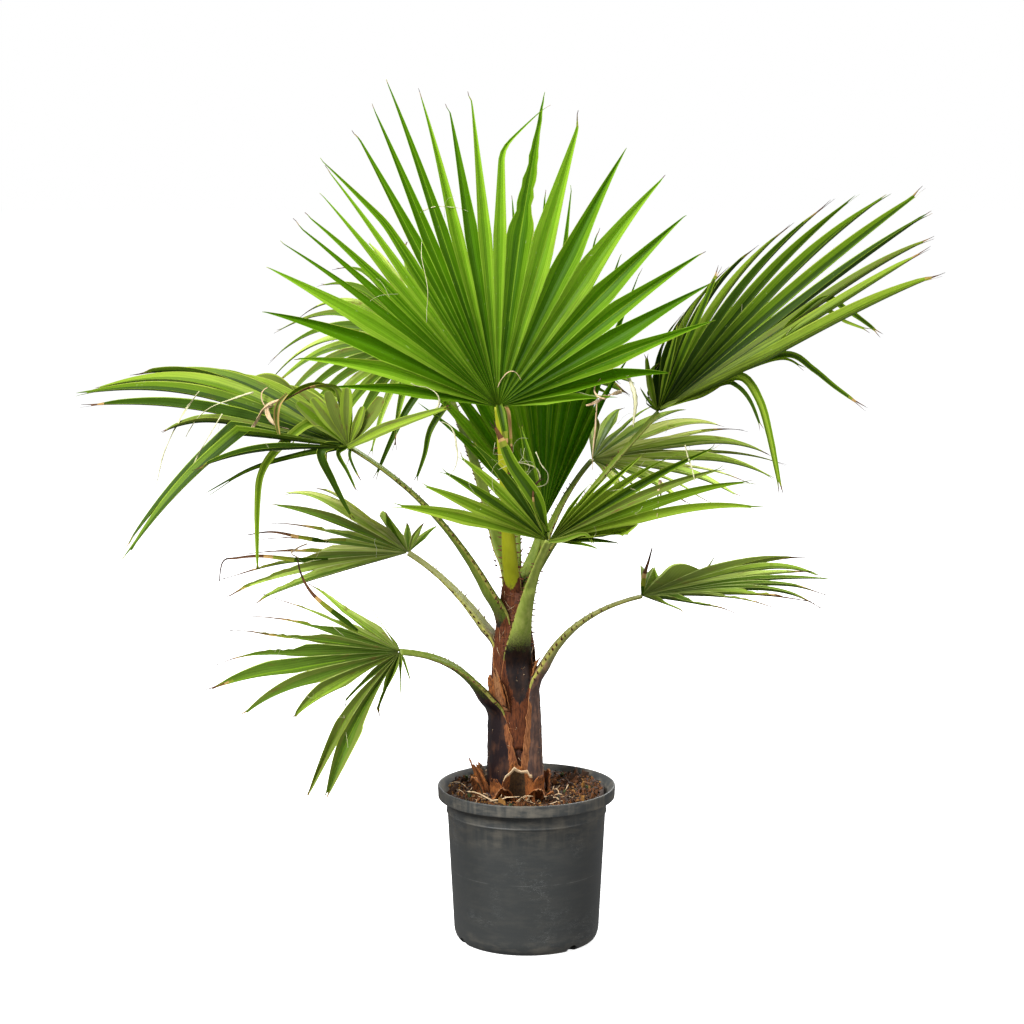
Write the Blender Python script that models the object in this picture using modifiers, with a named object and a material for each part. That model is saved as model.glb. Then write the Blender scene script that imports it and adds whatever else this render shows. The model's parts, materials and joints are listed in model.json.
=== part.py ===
"""A young Mexican fan palm in its nursery pot.

The pot stands on the origin. Soil fills it, a short trunk of wrapped leaf bases stands on the
soil among old cut husks, and each leaf is a petiole that leaves the trunk and a fan blade
whose outline is cut between its segments. Units are metres, +Z is up, -Y is the front.
"""

import math
from dataclasses import dataclass

import bmesh
import bpy
import numpy as np
from mathutils import Vector

COLLECTION_NAME = "potted_mexican_fan_palm"
CUTTER_COLLECTION_NAME = "cutters"
CLEARANCE = 0.0003
MERGE_DISTANCE = 0.00002
SHARP_ANGLE = 40.0

# Pot
POT_HEIGHT = 0.230
POT_RIM_RADIUS = 0.130
POT_RIM_HEIGHT = 0.018
POT_RIM_LIP = 0.003
POT_RIM_EDGE = 0.001
POT_RIM_SLOPE = 0.006
POT_WALL_TOP_RADIUS = 0.1175
POT_WALL_FOOT_RADIUS = 0.107
POT_FOOT_RADIUS = 0.097
POT_FOOT_ROUNDING = 0.020
POT_FOOT_TURNS = (0.0, 30.0, 60.0, 90.0)
POT_THICKNESS = 0.003
POT_STEP_HEIGHT = 0.192
POT_STEP_DEPTH = 0.0012
POT_STEP_TOP_INSET = 0.0006
POT_STEP_FOOT_INSET = 0.0018
POT_SIDES = 40
DRAIN_RADIUS = 0.0085
DRAIN_HEIGHT = 0.006
DRAIN_DEPTH = 0.030
DRAIN_TILT = 130.0
DRAIN_AZIMUTHS = (-154.0, -50.0, 34.0, 118.0)
DRAIN_SIDES = 12

# Soil
SOIL_TOP = 0.215
SOIL_EDGE_DROP = 0.006
SOIL_FLAT_RADIUS = 0.090

# Trunk: heights above the ground and radii, from the flat cut on the soil to the tip
TRUNK_FOOT_CENTRE = (-0.016, 0.010)
TRUNK_TIP_CENTRE = (-0.020, 0.018)
TRUNK_PROFILE = (
    (0.000, 0.0450),
    (0.018, 0.0415),
    (0.055, 0.0400),
    (0.100, 0.0390),
    (0.145, 0.0370),
    (0.185, 0.0340),
    (0.225, 0.0310),
    (0.265, 0.0265),
    (0.300, 0.0210),
    (0.325, 0.0150),
    (0.342, 0.0070),
)
TRUNK_SIDES = 22
SHEATH_COUNT = 3
SHEATH_RELIEF = 0.045
SHEATH_TWIST = 140.0

# Petioles
PETIOLE_SIDES = 8
PETIOLE_RINGS = 11
PETIOLE_TIP_WIDTH = 0.0054
PETIOLE_FLATNESS = 0.62
PETIOLE_TAPER = 2.0

# Blades
BLADE_THICKNESS_SHARE = 0.0105
BLADE_HUB_RADIUS = 0.0030
BLADE_TIP_WIDTH = 0.0014
BLADE_TAPER = 0.52
WEB_ROWS = (0.45, 1.0)
FREE_ROWS = (0.38, 0.74, 1.0)
SAG_START = 0.20
BEND_SPAN = 0.10
PATH_STEPS = 16
LENGTH_JITTER = 0.035
ANGLE_JITTER = 0.12

# Colours: base colour, roughness, metallic
POT_FINISH = ((0.055, 0.058, 0.058), 0.55, 0.0)
SOIL_FINISH = ((0.075, 0.038, 0.020), 0.95, 0.0)
TRUNK_FINISH = ((0.085, 0.045, 0.028), 0.80, 0.0)
HUSK_FINISH = ((0.160, 0.070, 0.030), 0.85, 0.0)
PETIOLE_FINISH = ((0.200, 0.230, 0.070), 0.50, 0.0)
BLADE_FINISH = ((0.120, 0.220, 0.035), 0.45, 0.0)


@dataclass
class Odd:
    """A segment unlike its neighbours: it bends at a share of its length, or has its own length."""

    angle: float
    share: float = 1.0
    down: float = 0.0
    side: float = 0.0
    out: float = 0.0
    length: float = 0.0


@dataclass
class Frond:
    """One leaf: where its petiole runs, how its fan lies, and how its segments reach and sag.

    spread is (segment, angle in degrees) pairs that say where the segments meet. reach and
    sag are (angle in degrees, value) pairs across the fan. gather draws the tips toward the
    fan's axis, and gaps are the (low, high) angles at which the segments are torn off.
    """

    name: str
    segments: int
    foot: tuple
    elbow: tuple
    hub: tuple
    axis: tuple
    face: tuple
    spread: tuple
    reach: tuple
    sag: tuple
    base_width: float = 0.016
    split: float = 0.5
    fold: float = 0.10
    gather: float = 0.0
    odds: tuple = ()
    gaps: tuple = ()
    seed: int = 1


@dataclass
class Husk:
    """An old cut leaf base that stands on the soil round the trunk."""

    azimuth: float
    height: float
    half_angle: float
    lean: float
    thickness: float = 0.005


FRONDS = (
    Frond(
        name="upright", segments=27, seed=11,
        foot=(-0.021, 0.002, 0.519), elbow=(-0.030, -0.030, 0.656), hub=(-0.041, -0.050, 0.792),
        axis=(-0.02, 0.06, 1.0), face=(0.0, -1.0, 0.06), base_width=0.015, fold=0.04, split=0.54,
        spread=((0, -82), (4, -51), (9, -32), (14, -10), (17, 4), (22, 48), (27, 88)),
        reach=((-82, 0.22), (-67, 0.325), (-59, 0.385), (-53, 0.375), (-38, 0.405), (-30, 0.435),
               (-21, 0.47), (-17, 0.505), (-12, 0.46), (-7, 0.43), (0, 0.45), (10, 0.45),
               (25, 0.42), (43, 0.395), (54, 0.355), (63, 0.35), (72, 0.30), (80, 0.205), (88, 0.14)),
        sag=((-82, 0.16), (-50, 0.10), (0, 0.04), (60, 0.08), (88, 0.10)),
        odds=(Odd(2, 0.80, side=0.9, out=0.2), Odd(-28, 0.70, side=-0.25)),
    ),
    Frond(
        name="rear_upright", segments=14, seed=12,
        foot=(-0.010, 0.035, 0.520), elbow=(0.010, 0.060, 0.554), hub=(0.025, 0.095, 0.605),
        axis=(0.02, 0.14, 1.0), face=(0.0, -1.0, 0.14), base_width=0.014, fold=0.10,
        spread=((0, -48), (14, 28)),
        reach=((-48, 0.24), (-30, 0.42), (-11, 0.525), (6, 0.49), (20, 0.40), (28, 0.24)),
        sag=((-48, 0.10), (28, 0.10)),
    ),
    Frond(
        name="upper_right", segments=20, seed=13,
        foot=(-0.011, 0.020, 0.501), elbow=(0.052, 0.010, 0.629), hub=(0.190, 0.010, 0.778),
        axis=(0.79, 0.00, 0.61), face=(-0.42, -0.45, 0.79), base_width=0.015, fold=0.16, gather=0.62,
        spread=((0, -112), (4, -60), (16, 26), (20, 46)),
        reach=((-112, 0.06), (-98, 0.075), (-78, 0.14), (-69, 0.175), (-52, 0.275), (-33, 0.38),
               (-22, 0.425), (-16, 0.465), (-8, 0.508), (0, 0.50), (13, 0.47), (22, 0.455),
               (26, 0.41), (29, 0.36), (34, 0.32), (46, 0.20)),
        sag=((-100, 0.00), (0, 0.03), (20, 0.05), (30, 0.40), (46, 0.30)),
        odds=(Odd(38, 0.40, down=2.6, length=0.25), Odd(31, 0.48, down=0.9, length=0.32)),
    ),
    Frond(
        name="upper_left", segments=23, seed=14,
        foot=(-0.034, 0.005, 0.471), elbow=(-0.096, -0.040, 0.638), hub=(-0.247, -0.080, 0.737),
        axis=(-0.95, -0.05, 0.24), face=(0.15, -0.30, 0.92), base_width=0.021, fold=0.24, gather=0.50,
        spread=((0, -110), (4, -66), (17, 42), (20, 92), (23, 136)),
        reach=((-110, 0.13), (-98, 0.20), (-80, 0.18), (-67, 0.30), (-60, 0.30), (-46, 0.278),
               (-36, 0.29), (-20, 0.36), (-15, 0.378), (7, 0.388), (20, 0.415), (30, 0.38),
               (45, 0.27), (60, 0.17), (80, 0.15), (97, 0.158), (136, 0.15)),
        sag=((-96, 0.40), (-50, 0.36), (-30, 0.25), (0, 0.30), (20, 0.42), (45, 0.55), (60, 0.20),
             (108, 0.10)),
        odds=(Odd(-5, length=0.27), Odd(-13, 0.26, down=0.70), Odd(-21, 0.28, down=0.66)),
        gaps=((-42, -26),),
    ),
    Frond(
        name="middle_left", segments=13, seed=15,
        foot=(-0.042, 0.028, 0.432), elbow=(-0.101, 0.050, 0.521), hub=(-0.174, 0.060, 0.564),
        axis=(-0.90, 0.25, 0.06), face=(0.15, -0.58, 0.80), base_width=0.017, fold=0.08,
        spread=((0, -37), (9, 43), (13, 122)),
        reach=((-37, 0.23), (-30, 0.26), (-22, 0.29), (-9, 0.285), (2, 0.24), (14, 0.26),
               (36, 0.285), (44, 0.15), (60, 0.07), (122, 0.07)),
        sag=((-40, 0.20), (0, 0.12), (112, 0.10)),
    ),
    Frond(
        name="lower_left", segments=15, seed=16,
        foot=(-0.046, -0.005, 0.339), elbow=(-0.085, -0.045, 0.432), hub=(-0.180, -0.100, 0.448),
        axis=(-0.95, -0.25, 0.02), face=(0.15, -0.72, 0.64), base_width=0.023, fold=0.06, split=0.56,
        spread=((0, -112), (3, -57), (5, -43), (7, -21), (13, 36), (15, 80)),
        reach=((-112, 0.06), (-80, 0.10), (-58, 0.20), (-54, 0.255), (-46, 0.265), (-38, 0.17),
               (-28, 0.19), (-18, 0.25), (-5, 0.30), (8, 0.265), (24, 0.235), (46, 0.18), (80, 0.11)),
        sag=((-112, 0.20), (-45, 0.70), (-24, 0.20), (0, 0.10), (80, 0.10)),
    ),
    Frond(
        name="lower_right", segments=13, seed=17,
        foot=(0.011, 0.005, 0.377), elbow=(0.045, -0.010, 0.484), hub=(0.166, -0.030, 0.516),
        axis=(0.97, 0.05, 0.14), face=(-0.13, -0.12, 0.98), base_width=0.022, fold=0.06,
        spread=((0, -84), (1, -72), (3, -27), (11, 32), (13, 68)),
        reach=((-84, 0.22), (-72, 0.20), (-64, 0.06), (-36, 0.14), (-22, 0.30), (-8, 0.265),
               (16, 0.275), (24, 0.25), (36, 0.22), (60, 0.18), (68, 0.13)),
        sag=((-84, 0.05), (0, 0.15), (60, 0.40), (68, 0.35)),
        odds=(Odd(-78, length=0.215), Odd(-36, length=0.14)),
    ),
    Frond(
        name="front", segments=20, seed=18,
        foot=(-0.014, -0.015, 0.419), elbow=(-0.004, -0.070, 0.532), hub=(0.030, -0.130, 0.612),
        axis=(0.05, 0.30, 0.95), face=(-0.05, -0.95, 0.30), base_width=0.022, fold=0.10,
        spread=((0, -82), (7, -12), (9, 28), (20, 96)),
        reach=((-82, 0.22), (-76, 0.225), (-65, 0.19), (-46, 0.18), (-27, 0.19), (-14, 0.17),
               (10, 0.08), (30, 0.10), (46, 0.20), (55, 0.27), (63, 0.28), (70, 0.305), (76, 0.29),
               (82, 0.12), (96, 0.06)),
        sag=((-82, 0.15), (0, 0.00), (96, 0.15)),
        gaps=((-12, 30),),
    ),
    Frond(
        name="middle_right", segments=15, seed=19,
        foot=(-0.007, 0.040, 0.467), elbow=(0.027, 0.080, 0.622), hub=(0.098, 0.130, 0.693),
        axis=(0.90, 0.26, 0.12), face=(-0.10, -0.30, 0.94), base_width=0.015,
        spread=((0, -75), (15, 95)),
        reach=((-75, 0.17), (-45, 0.24), (0, 0.30), (50, 0.24), (95, 0.14)),
        sag=((-75, 0.20), (0, 0.20), (95, 0.40)),
    ),
    Frond(
        name="rear_left", segments=20, seed=20,
        foot=(-0.027, 0.035, 0.520), elbow=(-0.069, 0.100, 0.711), hub=(-0.153, 0.220, 0.857),
        axis=(-0.84, 0.25, 0.15), face=(0.10, -0.70, 0.70), base_width=0.014,
        spread=((0, -95), (20, 95)),
        reach=((-95, 0.18), (-60, 0.26), (0, 0.28), (60, 0.27), (95, 0.20)),
        sag=((-95, 1.20), (0, 0.90), (60, 0.40), (95, 0.20)),
    ),
    Frond(
        name="rear", segments=20, seed=21,
        foot=(-0.020, 0.040, 0.481), elbow=(-0.017, 0.120, 0.674), hub=(-0.020, 0.260, 0.789),
        axis=(0.00, 0.97, 0.20), face=(0.0, -0.20, 0.97), base_width=0.015,
        spread=((0, -90), (20, 90)),
        reach=((-90, 0.15), (-60, 0.22), (0, 0.33), (60, 0.22), (90, 0.15)),
        sag=((-90, 0.50), (0, 0.60), (90, 0.50)),
    ),
)

HUSKS = (
    Husk(azimuth=198.0, height=0.046, half_angle=20.0, lean=0.020),
    Husk(azimuth=236.0, height=0.034, half_angle=15.0, lean=0.014),
    Husk(azimuth=272.0, height=0.066, half_angle=18.0, lean=0.022, thickness=0.007),
    Husk(azimuth=312.0, height=0.036, half_angle=17.0, lean=0.012),
    Husk(azimuth=20.0, height=0.030, half_angle=20.0, lean=0.010),
    Husk(azimuth=110.0, height=0.040, half_angle=24.0, lean=0.012),
)
HUSK_LEVELS = 5
HUSK_ARC_POINTS = 5
HUSK_POINTEDNESS = 0.75
HUSK_BEND = 1.5
HUSK_THINNING = 0.5


def clear_scene():
    """Remove every object."""
    for old in list(bpy.data.objects):
        bpy.data.objects.remove(old, do_unlink=True)


def new_collection(name):
    """A new collection in the scene."""
    collection = bpy.data.collections.new(name)
    bpy.context.scene.collection.children.link(collection)
    return collection


def principled(name, finish):
    """A material with a plain colour, roughness and metallic value."""
    colour, roughness, metallic = finish
    material = bpy.data.materials.new(name)
    material.use_nodes = True
    shader = material.node_tree.nodes["Principled BSDF"]
    shader.inputs["Base Color"].default_value = (*colour, 1.0)
    shader.inputs["Roughness"].default_value = roughness
    shader.inputs["Metallic"].default_value = metallic
    return material


def add_object(name, mesh, collection, finish=None):
    """An object for a mesh, with its own material unless it is a cutter."""
    item = bpy.data.objects.new(name, mesh)
    collection.objects.link(item)
    if finish is None:
        item.hide_render = True
        item.display_type = "WIRE"
    else:
        mesh.materials.append(principled(name, finish))
    return item


def evaluated_mesh(item):
    """The mesh of an object with its modifiers applied."""
    graph = bpy.context.evaluated_depsgraph_get()
    return bpy.data.meshes.new_from_object(item.evaluated_get(graph))


def keep_largest_body(mesh):
    """Weld a mesh and drop the loose scraps that a cut leaves."""
    work = bmesh.new()
    work.from_mesh(mesh)
    bmesh.ops.remove_doubles(work, verts=work.verts, dist=MERGE_DISTANCE)
    bodies = []
    left = set(work.verts)
    while left:
        body = set()
        front = [left.pop()]
        while front:
            vert = front.pop()
            body.add(vert)
            for edge in vert.link_edges:
                other = edge.other_vert(vert)
                if other in left:
                    left.discard(other)
                    front.append(other)
        bodies.append(body)
    bodies.sort(key=len, reverse=True)
    for scrap in bodies[1:]:
        bmesh.ops.delete(work, geom=list(scrap), context="VERTS")
    work.to_mesh(mesh)
    work.free()


def apply_cuts(item, cutters):
    """Cut an object by others with exact Booleans and keep its largest body."""
    for cutter in cutters:
        cut = item.modifiers.new(f"cut_{cutter.name}", "BOOLEAN")
        cut.operation = "DIFFERENCE"
        cut.solver = "EXACT"
        cut.object = cutter
    mesh = evaluated_mesh(item)
    keep_largest_body(mesh)
    item.modifiers.clear()
    item.data = mesh


def boxes_meet(first, second):
    """Whether the boxes round two objects meet."""
    def box(item):
        corners = np.array([item.matrix_world @ Vector(corner) for corner in item.bound_box])
        return corners.min(axis=0), corners.max(axis=0)

    first_low, first_high = box(first)
    second_low, second_high = box(second)
    return bool(np.all(first_low <= second_high) and np.all(second_low <= first_high))


def turned(name, profile, sides, collection, finish):
    """A turned solid: a profile in the XZ plane carried round the Z axis."""
    mesh = bpy.data.meshes.new(name)
    points = [(radius, 0.0, height) for radius, height in profile]
    edges = [(index, index + 1) for index in range(len(points) - 1)]
    mesh.from_pydata(points, edges, [])
    item = add_object(name, mesh, collection, finish)
    screw = item.modifiers.new("turn", "SCREW")
    screw.axis = "Z"
    screw.steps = sides
    screw.render_steps = sides
    screw.use_merge_vertices = True
    screw.merge_threshold = MERGE_DISTANCE
    screw.use_smooth_shade = True
    return item


def loft_mesh(name, rings):
    """A closed mesh through rings of equal length, each counter-clockwise seen from the end."""
    count = len(rings[0])
    points = [tuple(point) for ring in rings for point in ring]
    faces = []
    for level in range(len(rings) - 1):
        for side in range(count):
            after = (side + 1) % count
            low, high = level * count, (level + 1) * count
            faces.append((low + side, low + after, high + after, high + side))
    last = (len(rings) - 1) * count
    faces.append(tuple(range(count - 1, -1, -1)))
    faces.append(tuple(range(last, last + count)))
    mesh = bpy.data.meshes.new(name)
    mesh.from_pydata(points, [], faces)
    mesh.shade_smooth()
    mesh.set_sharp_from_angle(angle=math.radians(SHARP_ANGLE))
    return mesh


def pot_profile():
    """The pot's section, from the middle of its floor over the rim to the middle of its foot."""
    inner_foot = POT_WALL_FOOT_RADIUS - POT_THICKNESS
    inner_top = POT_WALL_TOP_RADIUS - POT_THICKNESS
    rim_foot = POT_HEIGHT - POT_RIM_HEIGHT
    profile = [(0.0, POT_THICKNESS), (POT_FOOT_RADIUS - POT_THICKNESS, POT_THICKNESS)]
    profile += [(inner_foot, POT_FOOT_ROUNDING), (inner_top, rim_foot)]
    profile += [(POT_RIM_RADIUS - POT_RIM_SLOPE, POT_HEIGHT - POT_RIM_LIP)]
    profile += [(POT_RIM_RADIUS - POT_THICKNESS, POT_HEIGHT)]
    profile += [(POT_RIM_RADIUS - POT_RIM_EDGE, POT_HEIGHT)]
    profile += [(POT_RIM_RADIUS, POT_HEIGHT - POT_RIM_LIP)]
    profile += [(POT_RIM_RADIUS - POT_RIM_EDGE, rim_foot)]
    profile += [(POT_WALL_TOP_RADIUS + POT_RIM_LIP, rim_foot)]
    profile += [(POT_WALL_TOP_RADIUS, rim_foot - POT_RIM_LIP)]
    profile += [(POT_WALL_TOP_RADIUS - POT_STEP_TOP_INSET, POT_STEP_HEIGHT)]
    profile += [(POT_WALL_TOP_RADIUS - POT_STEP_FOOT_INSET, POT_STEP_HEIGHT - POT_STEP_DEPTH)]
    for turn in POT_FOOT_TURNS:
        out = math.cos(math.radians(turn)) * (POT_WALL_FOOT_RADIUS - POT_FOOT_RADIUS)
        down = math.sin(math.radians(turn)) * POT_FOOT_ROUNDING
        profile.append((POT_FOOT_RADIUS + out, POT_FOOT_ROUNDING - down))
    profile.append((0.0, 0.0))
    return profile


def build_pot(collection, cutters):
    """The nursery pot with its drain holes through the lower edge."""
    pot = turned("pot", pot_profile(), POT_SIDES, collection, POT_FINISH)
    for index, azimuth in enumerate(DRAIN_AZIMUTHS):
        bpy.ops.mesh.primitive_cylinder_add(
            vertices=DRAIN_SIDES, radius=DRAIN_RADIUS, depth=DRAIN_DEPTH,
            location=(
                math.cos(math.radians(azimuth)) * POT_FOOT_RADIUS,
                math.sin(math.radians(azimuth)) * POT_FOOT_RADIUS,
                DRAIN_HEIGHT,
            ),
            rotation=(0.0, math.radians(DRAIN_TILT), math.radians(azimuth)),
        )
        drain = bpy.context.object
        drain.name = f"drain_{index + 1}"
        drain.hide_render = True
        drain.display_type = "WIRE"
        for owner in list(drain.users_collection):
            owner.objects.unlink(drain)
        cutters.objects.link(drain)
        hole = pot.modifiers.new(drain.name, "BOOLEAN")
        hole.operation = "DIFFERENCE"
        hole.solver = "EXACT"
        hole.object = drain


def build_soil(collection):
    """The soil that fills the pot, flat where the trunk and husks stand."""
    gap = POT_THICKNESS + CLEARANCE
    wall_top = POT_WALL_TOP_RADIUS - gap - CLEARANCE
    wall_foot = POT_WALL_FOOT_RADIUS - gap - CLEARANCE
    bottom = POT_THICKNESS + CLEARANCE
    rim_foot = POT_HEIGHT - POT_RIM_HEIGHT
    profile = [
        (0.0, SOIL_TOP),
        (SOIL_FLAT_RADIUS, SOIL_TOP),
        (wall_top - CLEARANCE, min(SOIL_TOP - SOIL_EDGE_DROP, rim_foot - CLEARANCE)),
        (wall_foot, POT_FOOT_ROUNDING),
        (POT_FOOT_RADIUS - gap - CLEARANCE, bottom),
        (0.0, bottom),
    ]
    return turned("soil", profile, POT_SIDES, collection, SOIL_FINISH)


def trunk_centre(height):
    """The middle of the leaning trunk at a height above the ground."""
    share = (height - SOIL_TOP) / TRUNK_PROFILE[-1][0]
    foot, tip = np.array(TRUNK_FOOT_CENTRE), np.array(TRUNK_TIP_CENTRE)
    return foot + (tip - foot) * share


def trunk_radius(height, azimuth):
    """The trunk's radius with the low relief of its wrapped leaf bases."""
    rises, radii = zip(*TRUNK_PROFILE)
    rise = height - SOIL_TOP
    radius = float(np.interp(rise, rises, radii))
    turn = SHEATH_COUNT * azimuth + SHEATH_TWIST * rise
    return radius * (1.0 + SHEATH_RELIEF * math.cos(turn))


def trunk_rings(grow):
    """The trunk's rings, grown outward by a clearance."""
    rings = []
    for rise, _ in TRUNK_PROFILE:
        height = SOIL_TOP + rise + (CLEARANCE if rise == 0.0 else 0.0)
        if grow > 0.0 and rise == 0.0:
            height = SOIL_TOP - grow
        if grow > 0.0 and rise == TRUNK_PROFILE[-1][0]:
            height += grow
        centre = trunk_centre(height)
        ring = []
        for side in range(TRUNK_SIDES):
            azimuth = math.tau * side / TRUNK_SIDES
            radius = trunk_radius(height, azimuth) + grow
            ring.append((centre[0] + radius * math.cos(azimuth),
                         centre[1] + radius * math.sin(azimuth), height))
        rings.append(ring)
    return rings


def build_trunk(collection, cutters):
    """The trunk, and as a cutter the slightly larger body that keeps its neighbours clear."""
    add_object("trunk", loft_mesh("trunk", trunk_rings(0.0)), collection, TRUNK_FINISH)
    return add_object("trunk_clearing", loft_mesh("trunk_clearing", trunk_rings(CLEARANCE)), cutters)


def build_husks(collection):
    """The old leaf bases round the foot: curved shields that lean out and come to a torn point."""
    outermost = 1.0 + SHEATH_RELIEF
    for index, husk in enumerate(HUSKS):
        rings = []
        for level in range(HUSK_LEVELS):
            share = level / (HUSK_LEVELS - 1)
            height = SOIL_TOP + CLEARANCE + husk.height * share
            rises, radii = zip(*TRUNK_PROFILE)
            trunk = float(np.interp(husk.height * share, rises, radii))
            inner = trunk * outermost + CLEARANCE + husk.lean * share ** HUSK_BEND
            outer = inner + husk.thickness * (1.0 - HUSK_THINNING * share)
            half = math.radians(husk.half_angle) * (1.0 - HUSK_POINTEDNESS * share ** 2)
            spread = np.linspace(-half, half, HUSK_ARC_POINTS)
            arc = [(outer, turn) for turn in spread] + [(inner, turn) for turn in spread[::-1]]
            middle = math.radians(husk.azimuth)
            centre = trunk_centre(height)
            rings.append([
                (centre[0] + radius * math.cos(middle + turn),
                 centre[1] + radius * math.sin(middle + turn), height)
                for radius, turn in arc
            ])
        name = f"husk_{index + 1}"
        add_object(name, loft_mesh(name, rings), collection, HUSK_FINISH)


def fan_frame(frond):
    """The fan's axis, its side and the way its upper face looks."""
    axis = Vector(frond.axis).normalized()
    side = axis.cross(Vector(frond.face)).normalized()
    return axis, side, side.cross(axis)


def between(pairs, place):
    """A value at a place, read between (place, value) pairs."""
    places, values = zip(*pairs)
    return float(np.interp(place, places, values))


def smooth_step(share):
    """Ease from 0 to 1."""
    share = min(max(share, 0.0), 1.0)
    return share * share * (3.0 - 2.0 * share)


def rib_path(frond, angle, length, odd=None):
    """Points along a rib, from the hub to its tip, in equal steps.

    The rib leaves the hub at an angle to the fan's axis, is drawn toward the axis and sags.
    """
    axis, side, face = fan_frame(frond)
    turn = math.radians(angle)
    start = axis * math.cos(turn) + side * math.sin(turn) + face * frond.fold * abs(math.sin(turn))
    start.normalize()
    sag = between(frond.sag, angle)
    point = Vector(frond.hub)
    path = [point.copy()]
    for step in range(PATH_STEPS):
        share = (step + 0.5) / PATH_STEPS
        eased = smooth_step((share - SAG_START) / (1.0 - SAG_START))
        way = start + (axis - start) * frond.gather * eased - Vector((0.0, 0.0, sag * eased))
        if odd is not None:
            bend = side * odd.side + face * odd.out - Vector((0.0, 0.0, odd.down))
            way += bend * smooth_step((share - odd.share) / BEND_SPAN + 0.5)
        point = point + way.normalized() * (length / PATH_STEPS)
        path.append(point.copy())
    return path


def along(path, share):
    """The point at a share of a path's length."""
    place = min(max(share, 0.0), 1.0) * PATH_STEPS
    index = min(int(place), PATH_STEPS - 1)
    return path[index].lerp(path[index + 1], place - index)


def blade_mesh(frond):
    """The fan as an open surface: a web round the hub, then a free strip for each segment."""
    chance = np.random.default_rng(frond.seed)
    bounds = [between(frond.spread, index) for index in range(frond.segments + 1)]
    points, faces = [], []

    web = []
    for angle in bounds:
        reach = between(frond.reach, angle)
        path = rib_path(frond, angle, reach)
        column = [len(points)]
        points.append(along(path, BLADE_HUB_RADIUS / reach))
        for row in WEB_ROWS:
            column.append(len(points))
            points.append(along(path, frond.split * row))
        web.append(column)
    for left, right in zip(web, web[1:]):
        for row in range(len(WEB_ROWS)):
            faces.append((left[row], right[row], right[row + 1], left[row + 1]))

    for index in range(frond.segments):
        low, high = bounds[index], bounds[index + 1]
        middle = (low + high) / 2.0
        angle = middle + chance.uniform(-ANGLE_JITTER, ANGLE_JITTER) * (high - low)
        length = between(frond.reach, middle) * (1.0 + chance.uniform(-LENGTH_JITTER, LENGTH_JITTER))
        if any(gap[0] < middle < gap[1] for gap in frond.gaps):
            continue
        odd = next((odd for odd in frond.odds if low <= odd.angle < high), None)
        if odd is not None and odd.length > 0.0:
            length = odd.length
        path = rib_path(frond, angle, length, odd)
        left, right = web[index][-1], web[index + 1][-1]
        across = points[right] - points[left]
        width = across.length / 2.0
        across.normalize()
        shift = (points[left] + points[right]) / 2.0 - along(path, frond.split)
        for row in FREE_ROWS:
            centre = along(path, frond.split + (1.0 - frond.split) * row) + shift * (1.0 - row)
            half = width * (1.0 - row) ** BLADE_TAPER + BLADE_TIP_WIDTH * row
            new_left, new_right = len(points), len(points) + 1
            points.append(centre - across * half)
            points.append(centre + across * half)
            faces.append((left, right, new_right, new_left))
            left, right = new_left, new_right

    mesh = bpy.data.meshes.new(f"blade_{frond.name}")
    mesh.from_pydata([tuple(point) for point in points], [], faces)
    return mesh


def build_blade(frond, collection, clearing):
    """A frond's blade, cut clear of its petiole's tip."""
    name = f"blade_{frond.name}"
    blade = add_object(name, blade_mesh(frond), collection, BLADE_FINISH)
    shell = blade.modifiers.new("thickness", "SOLIDIFY")
    shell.thickness = max(value for _, value in frond.reach) * BLADE_THICKNESS_SHARE
    shell.offset = 0.0
    apply_cuts(blade, [clearing])


def petiole_rings(frond, grow):
    """The petiole's rings along its bend, wide and flat where it clasps the trunk."""
    foot, elbow, hub = (Vector(point) for point in (frond.foot, frond.elbow, frond.hub))
    _, side, _ = fan_frame(frond)
    outward = Vector((hub.x - foot.x, hub.y - foot.y, 0.0)).normalized()
    clasp = Vector((0.0, 0.0, 1.0)).cross(outward)
    if clasp.dot(side) < 0.0:
        clasp.negate()
    rings = []
    for level in range(PETIOLE_RINGS):
        share = level / (PETIOLE_RINGS - 1)
        centre = foot * (1.0 - share) ** 2 + elbow * 2.0 * share * (1.0 - share) + hub * share ** 2
        way = ((elbow - foot) * (1.0 - share) + (hub - elbow) * share).normalized()
        if level in (0, PETIOLE_RINGS - 1):
            centre = centre + way * (grow if level else -grow)
        wide = clasp.lerp(side, share)
        wide = (wide - way * wide.dot(way)).normalized()
        thick = way.cross(wide)
        widening = (frond.base_width - PETIOLE_TIP_WIDTH) * (1.0 - share) ** PETIOLE_TAPER
        slim = PETIOLE_TIP_WIDTH + widening
        half = slim + grow
        depth = slim * PETIOLE_FLATNESS + grow
        rings.append([
            centre + wide * half * math.cos(turn) + thick * depth * math.sin(turn)
            for turn in (math.tau * index / PETIOLE_SIDES for index in range(PETIOLE_SIDES))
        ])
    return rings


def build_petioles(collection, cutters, trunk_clearing):
    """The petioles, each cut clear of the trunk and of the petioles before it."""
    clearings = {}
    for frond in FRONDS:
        name = f"petiole_{frond.name}"
        petiole = add_object(name, loft_mesh(name, petiole_rings(frond, 0.0)), collection, PETIOLE_FINISH)
        bpy.context.view_layer.update()
        near = [item for item in clearings.values() if boxes_meet(petiole, item)]
        apply_cuts(petiole, [trunk_clearing] + near)
        clear_name = f"clearing_{frond.name}"
        clearing = add_object(clear_name, loft_mesh(clear_name, petiole_rings(frond, CLEARANCE)), cutters)
        clearings[frond.name] = clearing
    bpy.context.view_layer.update()
    return clearings


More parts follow.
